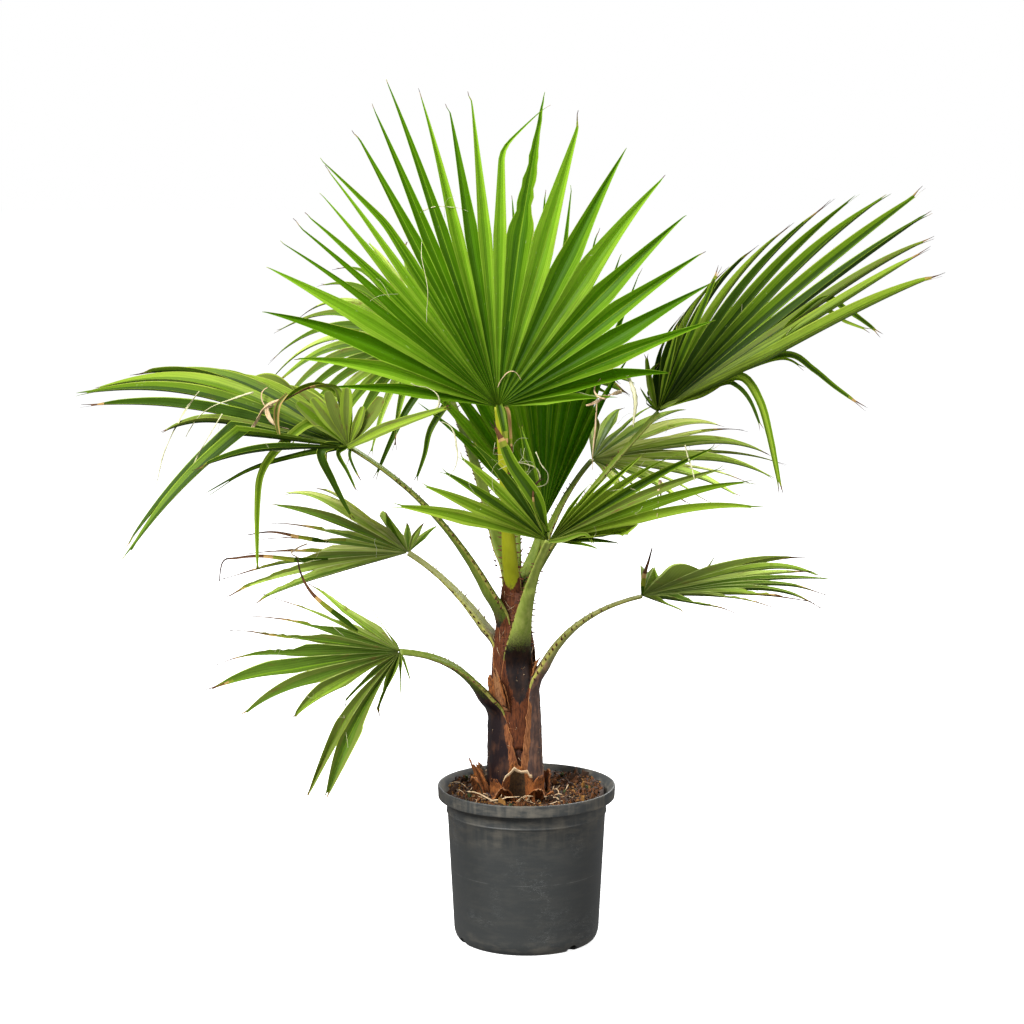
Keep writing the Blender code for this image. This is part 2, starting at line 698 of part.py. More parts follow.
def build_palm():
    """The whole plant in its pot."""
    clear_scene()
    parts = new_collection(COLLECTION_NAME)
    cutters = new_collection(CUTTER_COLLECTION_NAME)
    build_pot(parts, cutters)
    build_soil(parts)
    trunk_clearing = build_trunk(parts, cutters)
    build_husks(parts)
    clearings = build_petioles(parts, cutters, trunk_clearing)
    for frond in FRONDS:
        build_blade(frond, parts, clearings[frond.name])


build_palm()
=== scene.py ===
"""The looks of a young Mexican fan palm in its nursery pot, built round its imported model.

Each fan, stalk, husk, the trunk, the soil and the pot are modelled again as fine meshes
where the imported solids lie. Units are metres, +Z is up and -Y is the front.
"""

import json
import logging
import math
from dataclasses import dataclass
from enum import Enum
from functools import cache
from typing import Callable, Sequence, Union

import bpy
import numpy as np
from mathutils import Euler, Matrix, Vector, noise
from mathutils.bvhtree import BVHTree

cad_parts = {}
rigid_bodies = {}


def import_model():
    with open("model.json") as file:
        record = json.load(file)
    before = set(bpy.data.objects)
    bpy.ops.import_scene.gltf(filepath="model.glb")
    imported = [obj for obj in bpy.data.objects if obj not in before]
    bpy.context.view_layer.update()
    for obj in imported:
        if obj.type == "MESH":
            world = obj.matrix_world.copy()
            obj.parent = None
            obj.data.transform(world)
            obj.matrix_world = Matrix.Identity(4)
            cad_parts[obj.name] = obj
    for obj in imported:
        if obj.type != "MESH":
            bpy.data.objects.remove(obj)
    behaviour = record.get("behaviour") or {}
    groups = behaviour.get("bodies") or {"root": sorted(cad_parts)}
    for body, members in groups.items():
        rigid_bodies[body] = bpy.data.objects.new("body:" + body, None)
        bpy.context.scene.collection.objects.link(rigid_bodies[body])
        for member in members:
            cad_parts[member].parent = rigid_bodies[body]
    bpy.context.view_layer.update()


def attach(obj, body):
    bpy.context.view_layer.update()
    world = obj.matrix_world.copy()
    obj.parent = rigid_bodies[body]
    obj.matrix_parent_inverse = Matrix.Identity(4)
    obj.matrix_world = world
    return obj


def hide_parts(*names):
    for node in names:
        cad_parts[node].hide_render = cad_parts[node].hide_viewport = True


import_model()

log = logging.getLogger("palm")

Array = np.ndarray
Pairs = tuple[tuple[float, float], ...]
Colour = tuple[float, float, float]

UP = np.array((0.0, 0.0, 1.0))


# Shader maths


class Number:
    """A node socket that carries a number, so that shader maths reads as an expression."""

    def __init__(self, graph: "Graph", socket: bpy.types.NodeSocket) -> None:
        """Wrap a socket."""
        self.graph = graph
        self.socket = socket

    def _math(self, operation: str, first: "Operand", second: "Operand", clamp: bool = False) -> "Number":
        """Add a Math node.

        Args:
            operation: the node's operation.
            first: its first value.
            second: its second value.
            clamp: whether the result is kept from 0 to 1.

        Returns:
            The result.
        """
        settings = {"operation": operation, "use_clamp": clamp}
        node = self.graph.add("ShaderNodeMath", settings, {0: first, 1: second})
        return Number(self.graph, node.outputs[0])

    def __add__(self, other: "Operand") -> "Number":
        """This plus another."""
        return self._math("ADD", self, other)

    def __radd__(self, other: "Operand") -> "Number":
        """Another plus this."""
        return self._math("ADD", other, self)

    def __sub__(self, other: "Operand") -> "Number":
        """This minus another."""
        return self._math("SUBTRACT", self, other)

    def __rsub__(self, other: "Operand") -> "Number":
        """Another minus this."""
        return self._math("SUBTRACT", other, self)

    def __mul__(self, other: "Operand") -> "Number":
        """This times another."""
        return self._math("MULTIPLY", self, other)

    def __rmul__(self, other: "Operand") -> "Number":
        """Another times this."""
        return self._math("MULTIPLY", other, self)

    def __truediv__(self, other: "Operand") -> "Number":
        """This divided by another."""
        return self._math("DIVIDE", self, other)

    def __pow__(self, other: "Operand") -> "Number":
        """This to a power."""
        return self._math("POWER", self, other)

    def clamped(self) -> "Number":
        """This kept from 0 to 1."""
        return self._math("ADD", self, 0.0, clamp=True)

    def sine(self) -> "Number":
        """The sine of this, in radians."""
        return self._math("SINE", self, 0.0)

    def above(self, low: float, high: float) -> "Number":
        """How far this is from one value to another, kept from 0 to 1."""
        return ((self - low) / (high - low)).clamped()


Operand = Union[Number, float]
SocketValue = Union[Number, bpy.types.NodeSocket, float, Colour, tuple]


class Graph:
    """A material's node tree round its Principled shader."""

    def __init__(self, name: str) -> None:
        """Make a material with nodes.

        Args:
            name: the material's name.
        """
        self.material = bpy.data.materials.new(name)
        self.material.use_nodes = True
        self.tree = self.material.node_tree
        self.shader = self.tree.nodes["Principled BSDF"]

    def add(self, kind: str, settings: dict, sockets: dict) -> bpy.types.ShaderNode:
        """Add a node.

        Args:
            kind: the node's type.
            settings: its settings, set first; stops are a ramp's (place, colour) pairs.
            sockets: values or links for its input sockets, by name or index.

        Returns:
            The node.
        """
        node = self.tree.nodes.new(kind)
        for key, value in settings.items():
            if key == "stops":
                self._set_stops(node.color_ramp, value)
            else:
                setattr(node, key, value)
        for key, value in sockets.items():
            self.feed(node.inputs[key], value)
        return node

    @staticmethod
    def _set_stops(ramp: bpy.types.ColorRamp, stops: Sequence[tuple[float, Colour]]) -> None:
        """Give a ramp its stops.

        Args:
            ramp: the ramp.
            stops: (place, colour) pairs from low to high.
        """
        while len(ramp.elements) < len(stops):
            ramp.elements.new(1.0)
        for element, (place, colour) in zip(ramp.elements, stops):
            element.position = place
            element.color = (*colour, 1.0)

    def feed(self, target: bpy.types.NodeSocket, value: SocketValue) -> None:
        """Link or set an input.

        Args:
            target: the input.
            value: a number socket, a socket, a number, a colour or a vector.
        """
        if isinstance(value, Number):
            self.tree.links.new(value.socket, target)
        elif isinstance(value, bpy.types.NodeSocket):
            self.tree.links.new(value, target)
        elif target.type == "RGBA" and len(value) == 3:
            target.default_value = (*value, 1.0)
        else:
            target.default_value = value

    def place(self) -> bpy.types.NodeSocket:
        """The point on the object, in metres."""
        return self.add("ShaderNodeTexCoord", {}, {}).outputs["Object"]

    def stretched(self, scale: tuple[float, float, float]) -> bpy.types.NodeSocket:
        """The point on the object, multiplied along each axis."""
        node = self.add("ShaderNodeVectorMath", {"operation": "MULTIPLY"}, {0: self.place(), 1: scale})
        return node.outputs["Vector"]

    def vector(self, x: Operand, y: Operand, z: Operand) -> bpy.types.NodeSocket:
        """A vector of three numbers."""
        return self.add("ShaderNodeCombineXYZ", {}, {"X": x, "Y": y, "Z": z}).outputs[0]

    def height(self) -> Number:
        """The height above the ground, in metres."""
        node = self.add("ShaderNodeSeparateXYZ", {}, {0: self.place()})
        return Number(self, node.outputs["Z"])

    def attribute(self, name: str) -> Number:
        """A number that is kept at each point of the mesh."""
        node = self.add("ShaderNodeAttribute", {"attribute_name": name}, {})
        return Number(self, node.outputs["Fac"])

    def noise(self, scale: float, detail: float = 2.0, roughness: float = 0.5,
              vector: bpy.types.NodeSocket | None = None) -> Number:
        """Smooth noise from 0 to 1."""
        sockets = {"Vector": vector or self.place(), "Scale": scale, "Detail": detail, "Roughness": roughness}
        return Number(self, self.add("ShaderNodeTexNoise", {}, sockets).outputs["Fac"])

    def blend(self, factor: SocketValue, first: SocketValue, second: SocketValue) -> bpy.types.NodeSocket:
        """A mix of two colours.

        Args:
            factor: the second colour's share.
            first: the first colour.
            second: the second colour.

        Returns:
            The colour.
        """
        node = self.add("ShaderNodeMix", {"data_type": "RGBA"}, {"Factor": factor})
        self.feed(node.inputs[6], first)
        self.feed(node.inputs[7], second)
        return node.outputs[2]

    def bump(self, height: Number, distance: float, strength: float = 1.0) -> None:
        """Give the shader relief.

        Args:
            height: the relief from 0 to 1.
            distance: the height of the relief in metres.
            strength: how strongly it shows.
        """
        sockets = {"Height": height, "Distance": distance, "Strength": strength}
        node = self.add("ShaderNodeBump", {}, sockets)
        self.feed(self.shader.inputs["Normal"], node.outputs["Normal"])

    def through(self, colour: Colour, share: float) -> None:
        """Let light through, as a thin leaf does.

        Args:
            colour: the colour of the light that comes through.
            share: how much of the surface lets it through.
        """
        glow = self.add("ShaderNodeBsdfTranslucent", {}, {"Color": colour})
        mixed = self.add("ShaderNodeMixShader", {}, {0: share, 1: self.shader.outputs[0], 2: glow.outputs[0]})
        self.feed(self.tree.nodes["Material Output"].inputs["Surface"], mixed.outputs[0])


def scaled(colour: Colour, factor: float) -> Colour:
    """A colour made lighter or darker."""
    return tuple(min(part * factor, 1.0) for part in colour)


# Finishes


@dataclass(frozen=True)
class LeafFinish:
    """A living or dried leaf: a plain colour with veins along it, a thin wax and light through it."""

    name: str
    colour: Colour
    roughness: float = 0.44
    light_through: float = 0.34
    glow: Colour = (0.30, 0.50, 0.01)
    mottle: float = 0.56
    vein_pitch: float = 2300.0
    gloss: float = 0.09
    speck: float = 0.0
    speck_colour: Colour = (0.50, 0.55, 0.28)
    blotch: float = 0.0
    blotch_colour: Colour = (0.16, 0.09, 0.03)

    @cache
    def material(self) -> bpy.types.Material:
        """The material, built at its first use."""
        graph = Graph(self.name)
        across, reach, lot = (graph.attribute(name) for name in ("across", "share", "lot"))
        streak = graph.noise(1.0, 4.0, 0.6, graph.vector(across * 420.0, reach * 3.2, lot * 61.0))
        cloudy = graph.noise(30.0, 3.0)
        fine = graph.noise(600.0, 2.0)
        vein = (across * self.vein_pitch).sine() * 0.5 + 0.5
        # The reach term makes the leaf lighter towards its tip: the darker fused part by the hub is painted
        # shade of its tight pleats. Streak, cloud, lot and vein are the leaf's own mottle.
        light = streak * 0.80 + cloudy * 0.35 + lot * 0.20 + vein * 0.22 + reach * 1.10 - 0.79
        light = light.above(0.13, 0.82)
        low, high = scaled(self.colour, 1.0 - self.mottle), scaled(self.colour, 1.0 + self.mottle)
        colour = graph.blend(light, low, high)
        if self.blotch > 0.0:
            patch = graph.noise(1.0, 4.0, 0.65, graph.vector(across * 160.0, reach * 9.0, lot * 37.0))
            worn = patch.above(0.66 - 0.10 * self.blotch, 0.72) * self.blotch
            colour = graph.blend(worn, colour, self.blotch_colour)
        if self.speck > 0.0:
            dash = graph.noise(1.0, 2.0, 0.5, graph.vector(across * 900.0, reach * 46.0, lot * 83.0))
            colour = graph.blend(dash.above(0.73, 0.77) * self.speck, colour, self.speck_colour)
        shader = graph.shader.inputs
        graph.feed(shader["Base Color"], colour)
        graph.feed(shader["Roughness"], self.roughness + cloudy * 0.16 - 0.08 + fine * 0.04)
        shader["Specular IOR Level"].default_value = self.gloss
        relief = (streak * 0.5 + vein * 0.3 + fine * 0.1) * (1.0 - reach).above(0.0, 0.55)
        graph.bump(relief, 0.00014, 0.50)
        if self.light_through > 0.0:
            graph.through(self.glow, self.light_through)
        return graph.material


@dataclass(frozen=True)
class StalkFinish:
    """A leaf stalk that is green above, with an old base that is purple-black and torn to rusty fibre."""

    name: str
    green: Colour = (0.115, 0.170, 0.014)
    pale: Colour = (0.270, 0.300, 0.060)
    purple: Colour = (0.014, 0.008, 0.009)
    brown: Colour = (0.070, 0.030, 0.017)
    paleness: float = 0.18
    dust: Colour = (0.22, 0.16, 0.15)
    dustiness: float = 0.16
    rust_dark: Colour = (0.022, 0.006, 0.003)
    rust_light: Colour = (0.200, 0.056, 0.016)

    @cache
    def material(self) -> bpy.types.Material:
        """The material, built at its first use.

        The age attribute is 0 on the stalk and 1 at the foot of its base, and the torn
        attribute is 0 on whole skin and 1 on bare fibre.
        """
        graph = Graph(self.name)
        age, torn = graph.attribute("age"), graph.attribute("torn")
        streak = graph.noise(30.0, 4.0, 0.6, graph.stretched((5.0, 5.0, 1.0)))
        strand = graph.noise(75.0, 5.0, 0.7, graph.stretched((7.0, 7.0, 1.0)))
        speckle = graph.noise(620.0, 3.0, 0.7)
        cloudy = graph.noise(52.0, 3.0)
        fresh = graph.blend((streak * 1.3 - 0.65 + self.paleness).clamped(), self.green, self.pale)
        turn = age + (speckle - 0.5) * 0.75 + (streak - 0.5) * 0.45
        old = graph.blend((cloudy * 0.6 + streak * 0.6).above(0.58, 0.78), self.purple, self.brown)
        colour = graph.blend(turn.above(0.28, 0.76), fresh, old)
        dusty = graph.blend(speckle.above(0.64, 0.82) * age * self.dustiness, colour, self.dust)
        rust = graph.blend((strand * 2.4 - 0.80).clamped(), self.rust_dark, self.rust_light)
        bare = (torn + (strand - 0.5) * 0.9 + (cloudy - 0.5) * 0.5).above(0.42, 0.56)
        shader = graph.shader.inputs
        graph.feed(shader["Base Color"], graph.blend(bare, dusty, rust))
        graph.feed(shader["Roughness"], 0.36 + cloudy * 0.22 + bare * 0.30)
        shader["Specular IOR Level"].default_value = 0.22
        graph.bump(streak * 0.3 + speckle * 0.3 + strand * (0.2 + bare * 0.8), 0.0008, 0.6)
        return graph.material


@dataclass(frozen=True)
class FibreFinish:
    """Dry fibrous tissue: torn sheath margins, husks and the trunk's mat of fibre."""

    name: str
    dark: Colour
    light: Colour
    stretch: tuple[float, float, float] = (7.0, 7.0, 1.0)
    scale: float = 60.0
    relief: float = 0.0012

    @cache
    def material(self) -> bpy.types.Material:
        """The material, built at its first use."""
        graph = Graph(self.name)
        strand = graph.noise(self.scale, 5.0, 0.65, graph.stretched(self.stretch))
        cloudy = graph.noise(42.0, 3.0)
        fine = graph.noise(900.0, 2.0)
        light = (strand * 2.3 + cloudy * 1.2 + fine * 0.3 - 1.45).clamped()
        shader = graph.shader.inputs
        graph.feed(shader["Base Color"], graph.blend(light, self.dark, self.light))
        graph.feed(shader["Roughness"], 0.70 + fine * 0.25)
        graph.bump(strand * 0.8 + fine * 0.2, self.relief, 0.8)
        return graph.material


@dataclass(frozen=True)
class PlasticFinish:
    """The dull moulded plastic of a nursery pot, dusty and scuffed."""

    name: str
    colour: Colour = (0.034, 0.038, 0.039)
    dust: Colour = (0.130, 0.118, 0.095)
    scuff: Colour = (0.30, 0.31, 0.30)
    mould_line: float = 0.108
    shoulder: float = 0.186
    band_low: float = 0.148

    @cache
    def material(self) -> bpy.types.Material:
        """The material, built at its first use."""
        graph = Graph(self.name)
        height = graph.height()
        cloudy = graph.noise(14.0, 4.0, 0.6)
        smear = graph.noise(26.0, 5.0, 0.65, graph.stretched((1.0, 1.0, 3.0)))
        fine = graph.noise(800.0, 3.0, 0.7)
        ring = graph.noise(240.0, 2.0, 0.5, graph.stretched((0.03, 0.03, 1.0)))
        scratch = graph.noise(26.0, 5.0, 0.75, graph.stretched((1.5, 1.5, 5.0)))
        line = (1.0 - ((scratch - 0.5) * 90.0) ** 2.0).clamped() * cloudy.above(0.52, 0.64)
        upper = height.above(self.band_low, self.shoulder)
        rim = height.above(0.208, 0.216)
        lower = 1.0 - height.above(0.002, 0.030)
        mould = (1.0 - ((height + smear * 0.0012 - self.mould_line) * 1400.0) ** 2.0).clamped()
        patch = smear.above(0.46, 0.66)
        drip = graph.noise(70.0, 4.0, 0.6, graph.stretched((1.0, 1.0, 0.16))).above(0.46, 0.66)
        dusty = patch * (0.10 + upper * 0.36 + rim * 0.20 + lower * 0.50) + drip * (upper * 0.34 + rim * 0.22)
        dusty = (dusty + fine * 0.06 + ring * 0.10).clamped()
        worn = graph.blend(dusty, self.colour, self.dust)
        marks = (line * 0.30 + mould * 0.22 * patch).clamped()
        colour = graph.blend(marks, worn, self.scuff)
        shader = graph.shader.inputs
        graph.feed(shader["Base Color"], colour)
        graph.feed(shader["Roughness"], (0.36 + dusty * 0.40 + fine * 0.10).clamped())
        shader["Specular IOR Level"].default_value = 0.42
        graph.bump(fine * 0.25 + ring * 0.50 + scratch * 0.25, 0.0004, 0.45)
        return graph.material


@dataclass(frozen=True)
class EarthFinish:
    """Potting earth and chips."""

    name: str
    dark: Colour
    light: Colour
    scale: float = 160.0

    @cache
    def material(self) -> bpy.types.Material:
        """The material, built at its first use."""
        graph = Graph(self.name)
        grain = graph.noise(self.scale, 5.0, 0.7)
        fine = graph.noise(1400.0, 2.0)
        light = (grain * 1.6 + fine * 0.5 - 0.75).clamped()
        shader = graph.shader.inputs
        graph.feed(shader["Base Color"], graph.blend(light, self.dark, self.light))
        graph.feed(shader["Roughness"], 0.78 + grain * 0.2)
        graph.bump(grain * 0.7 + fine * 0.3, 0.0010, 0.8)
        return graph.material


@dataclass(frozen=True)
class FloorFinish:
    """The white studio floor, lit a little of its own so that it meets the backdrop unseen."""

    name: str = "floor_pale"
    colour: Colour = (0.82, 0.82, 0.82)
    lift: float = 0.80

    @cache
    def material(self) -> bpy.types.Material:
        """The material, built at its first use."""
        graph = Graph(self.name)
        cloudy = graph.noise(3.0, 2.0)
        shader = graph.shader.inputs
        colour = graph.blend(cloudy, scaled(self.colour, 0.99), scaled(self.colour, 1.01))
        graph.feed(shader["Base Color"], colour)
        shader["Roughness"].default_value = 0.9
        shader["Specular IOR Level"].default_value = 0.1
        shader["Emission Color"].default_value = (1.0, 1.0, 1.0, 1.0)
        shader["Emission Strength"].default_value = self.lift
        return graph.material


class Shade(Enum):
    """The plain colours that a blade's faces are dealt, with painted shade in the folds' valleys and painted
    light on the ridges.
    """

    MAIN = 0
    LIGHT = 1
    DEEP = 2
    RIB = 3
    MARGIN = 4
    YELLOW = 5
    STRAW = 6
    BROWN = 7
    DARK = 8
    WORN = 9


LEAF_DRY = (
    LeafFinish("leaf_rib", (0.165, 0.290, 0.016), glow=(0.40, 0.55, 0.02), mottle=0.15),
    LeafFinish("leaf_margin", (0.290, 0.370, 0.048), glow=(0.50, 0.55, 0.03), mottle=0.20),
    LeafFinish("leaf_yellow", (0.205, 0.240, 0.028), glow=(0.45, 0.46, 0.02), mottle=0.25),
    LeafFinish("leaf_straw", (0.42, 0.27, 0.100), 0.62, 0.20, (0.50, 0.34, 0.11), 0.25),
    LeafFinish("leaf_brown", (0.088, 0.040, 0.017), 0.70, 0.10, (0.15, 0.07, 0.03), 0.40),
    LeafFinish("leaf_dark", (0.034, 0.016, 0.010), 0.72, 0.05, (0.08, 0.04, 0.02), 0.30),
    LeafFinish("leaf_worn", (0.140, 0.190, 0.030), 0.55, 0.25, (0.30, 0.34, 0.03), 0.30, blotch=0.9),
)


class Palette(Enum):
    """The greens of a fan, from the youngest leaf to the oldest: a main, a light and a deep one, which also
    paint light on the ridges and shade in the folds.
    """

    FRESH = (
        LeafFinish("leaf_fresh", (0.112, 0.222, 0.008), glow=(0.30, 0.52, 0.004), speck=0.8),
        LeafFinish("leaf_fresh_light", (0.195, 0.325, 0.022), glow=(0.38, 0.60, 0.006), speck=0.8),
        LeafFinish("leaf_fresh_deep", (0.052, 0.130, 0.0015), glow=(0.20, 0.42, 0.002), speck=0.5),
    )
    GROWN = (
        LeafFinish("leaf_grown", (0.096, 0.168, 0.007), glow=(0.22, 0.34, 0.006), speck=0.7, blotch=0.25),
        LeafFinish("leaf_grown_light", (0.215, 0.305, 0.028), glow=(0.32, 0.44, 0.014), speck=0.7,
                   blotch=0.3),
        LeafFinish("leaf_grown_deep", (0.030, 0.066, 0.003), glow=(0.12, 0.21, 0.004), speck=0.4, blotch=0.2),
    )
    OLD = (
        LeafFinish("leaf_old", (0.250, 0.365, 0.044), glow=(0.28, 0.37, 0.018), speck=0.6, blotch=0.9),
        LeafFinish("leaf_old_light", (0.440, 0.550, 0.135), glow=(0.40, 0.46, 0.040), speck=0.6, blotch=0.9),
        LeafFinish("leaf_old_deep", (0.092, 0.164, 0.016), glow=(0.18, 0.26, 0.010), speck=0.4, blotch=0.6),
    )
    # A paler palette for the middle fans under the crown: partly their own pale grey-green, partly painted
    # light against the shade they lie in.
    PALE = (
        LeafFinish("leaf_pale", (0.380, 0.500, 0.100), glow=(0.42, 0.50, 0.040), speck=0.6, blotch=0.8),
        LeafFinish("leaf_pale_light", (0.600, 0.690, 0.260), glow=(0.60, 0.62, 0.100), speck=0.6, blotch=0.5),
        LeafFinish("leaf_pale_deep", (0.135, 0.228, 0.027), glow=(0.24, 0.34, 0.014), speck=0.4, blotch=0.5),
    )

    def materials(self) -> list[bpy.types.Material]:
        """The materials of a fan, in the order of Shade."""
        return [finish.material() for finish in (*self.value, *LEAF_DRY)]


# Meshes


class Surface:
    """Points, faces and what is kept with them, gathered before they become a mesh."""

    def __init__(self) -> None:
        """Start empty."""
        self.points: list[Array] = []
        self.faces: list[tuple[int, ...]] = []
        self.slots: list[int] = []
        self.numbers: dict[str, dict[int, float]] = {}

    def point(self, place: Array, **numbers: float) -> int:
        """Add a point.

        Args:
            place: where it is.
            numbers: named numbers that are kept with it.

        Returns:
            Its index.
        """
        index = len(self.points)
        self.points.append(np.asarray(place, float))
        for name, value in numbers.items():
            self.numbers.setdefault(name, {})[index] = value
        return index

    def face(self, corners: Sequence[int], slot: int = 0) -> None:
        """Add a face."""
        self.faces.append(tuple(corners))
        self.slots.append(slot)

    def loft(self, rings: Sequence[Sequence[int]], slot: int = 0) -> None:
        """Add the faces between closed rings of points, and over the first and the last one.

        Args:
            rings: the rings in order.
            slot: the faces' material.
        """
        for low, high in zip(rings, rings[1:]):
            for side, after in around(len(low)):
                self.face((low[side], low[after], high[after], high[side]), slot)
        self.face(rings[0][::-1], slot)
        self.face(rings[-1], slot)

    def tube(self, path: Array, radii: Sequence[float], sides: int = 4, slot: int = 0) -> None:
        """Add a closed tube along a path.

        Args:
            path: its centreline.
            radii: its radius at each point of the path.
            sides: how many sides it has.
            slot: its material.
        """
        rings = []
        way = path[1] - path[0]
        cross = np.cross(way, UP)
        if np.linalg.norm(cross) < 1e-9:
            cross = np.array((1.0, 0.0, 0.0))
        for index, place in enumerate(path):
            way = course(path, index)
            cross = unit(cross - way * float(cross @ way))
            other = np.cross(way, cross)
            ring = []
            for side in range(sides):
                turn = math.tau * side / sides
                out = cross * math.cos(turn) + other * math.sin(turn)
                ring.append(self.point(place + out * radii[index]))
            rings.append(ring)
        self.loft(rings, slot)

    def build(self, name: str, materials: Sequence[bpy.types.Material], smooth: bool = True,
              shell: float = 0.0) -> bpy.types.Object:
        """Make the object.

        Args:
            name: its name.
            materials: its materials, in the order of the faces' slots.
            smooth: whether it is shaded smooth.
            shell: the thickness that an open surface is given.

        Returns:
            The object.
        """
        mesh = bpy.data.meshes.new(name)
        mesh.from_pydata([tuple(place) for place in self.points], [], self.faces)
        for material in materials:
            mesh.materials.append(material)
        mesh.polygons.foreach_set("material_index", self.slots)
        for key, kept in self.numbers.items():
            values = np.zeros(len(self.points), np.float32)
            values[list(kept)] = list(kept.values())
            mesh.attributes.new(key, "FLOAT", "POINT").data.foreach_set("value", values)
        if smooth:
            mesh.shade_smooth()
        mesh.update()
        item = bpy.data.objects.new(name, mesh)
        bpy.context.scene.collection.objects.link(item)
        if shell > 0.0:
            thick = item.modifiers.new("thickness", "SOLIDIFY")
            thick.thickness = shell
            thick.offset = 0.0
            thick.use_even_offset = False
            settle(item)
        return item


def settle(item: bpy.types.Object) -> None:
    """Apply an object's modifiers to its mesh.

    Args:
        item: the object.
    """
    graph = bpy.context.evaluated_depsgraph_get()
    mesh = bpy.data.meshes.new_from_object(item.evaluated_get(graph))
    item.modifiers.clear()
    item.data = mesh


def unit(vector: Array) -> Array:
    """A vector made one long."""
    return vector / max(float(np.linalg.norm(vector)), 1e-12)


def level_way(azimuth: float) -> Array:
    """The level direction at an azimuth in radians."""
    return np.array((math.cos(azimuth), math.sin(azimuth), 0.0))


def course(path: Sequence[Array], index: int) -> Array:
    """The direction of a path at one of its points."""
    return unit(path[min(index + 1, len(path) - 1)] - path[max(index - 1, 0)])


def around(count: int) -> list[tuple[int, int]]:
    """Each index of a closed ring with the one after it."""
    return [(index, (index + 1) % count) for index in range(count)]


def past(share: float, start: float) -> float:
    """How far a share is from a start to the end, from 0 to 1."""
    return max(share - start, 0.0) / max(1.0 - start, 1e-6)


def shrivelled(share: float, dry: float) -> float:
    """How far a leaf has shrivelled at a share of its length, of which the last part has dried."""
    return smooth_step((share - 1.0 + 1.5 * dry) / max(1.3 * dry, 1e-6))


def leaf_tree() -> BVHTree:
    """The fans' blades as they stand, for finding where a loose piece touches one."""
    places, faces = [], []
    for item in bpy.data.objects:
        if item.name.startswith("fan_"):
            first = len(places)
            places += [tuple(vertex.co) for vertex in item.data.vertices]
            faces += [[first + corner for corner in face.vertices] for face in item.data.polygons]
    return BVHTree.FromPolygons(places, faces)


def seated(path: Array, leaves: BVHTree) -> Array:
    """Slide a loose piece's path until it touches a blade.

    Args:
        path: the points of its middle line.
        leaves: the blades.

    Returns:
        The same path, moved along the line of sight where a blade lies there, or else straight to one.
    """
    slides = []
    for point in path[::SLIDE_STEP]:
        sight = unit(point - np.array(SIGHT_FROM))
        for way in (sight, -sight):
            hit, _, _, far = leaves.ray_cast(Vector(point), Vector(way), SLIDE_REACH)
            if hit is not None:
                slides.append(way * far)
    if not slides:
        nearest = [(leaves.find_nearest(Vector(point)), point) for point in path[::SLIDE_STEP]]
        slides = [np.array(found[0]) - point for found, point in nearest]
    return path + min(slides, key=np.linalg.norm)


def smooth_step(share: float) -> float:
    """Ease from 0 to 1."""
    share = min(max(share, 0.0), 1.0)
    return share * share * (3.0 - 2.0 * share)


def between(pairs: Pairs, place: float) -> float:
    """A value read between (place, value) pairs."""
    places, values = zip(*pairs)
    return float(np.interp(place, places, values))


def wobble(place: Array, scale: float, seed: float = 0.0) -> float:
    """Smooth noise from -1 to 1."""
    x, y, z = (float(part) * scale for part in place)
    return float(noise.noise(Vector((x + seed, y - seed, z + 0.5 * seed))))


def hand_over(item: bpy.types.Object, slot: str, *nodes: str) -> None:
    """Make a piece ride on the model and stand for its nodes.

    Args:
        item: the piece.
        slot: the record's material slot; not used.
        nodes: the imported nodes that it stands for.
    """
    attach(item, "root")
    if nodes:
        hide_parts(*nodes)
    log.info("%s: %d faces", item.name, len(item.data.polygons))


@dataclass(frozen=True)
class Odd:
    """A segment that isn't like its neighbours.

    It leaves the fan's axis at an angle in degrees. At a share of its length it bends down to
    the ground, across the fan or off the fan's face. It may have a length, a width, a taper, a
    dried share and a shade of its own, a cut that parts it sooner, and ragged margins. What is
    0, or below 0 for dry, rag and tone, is as in the rest of the fan.
    """

    angle: float
    share: float = 1.0
    down: float = 0.0
    side: float = 0.0
    out: float = 0.0
    length: float = 0.0
    width: float = 1.0
    dry: float = -1.0
    rag: float = 0.0
    taper: float = 0.0
    tone: int = -1
    cut: float = 0.0


REGULAR = Odd(0.0, rag=-1.0)


# Leaves


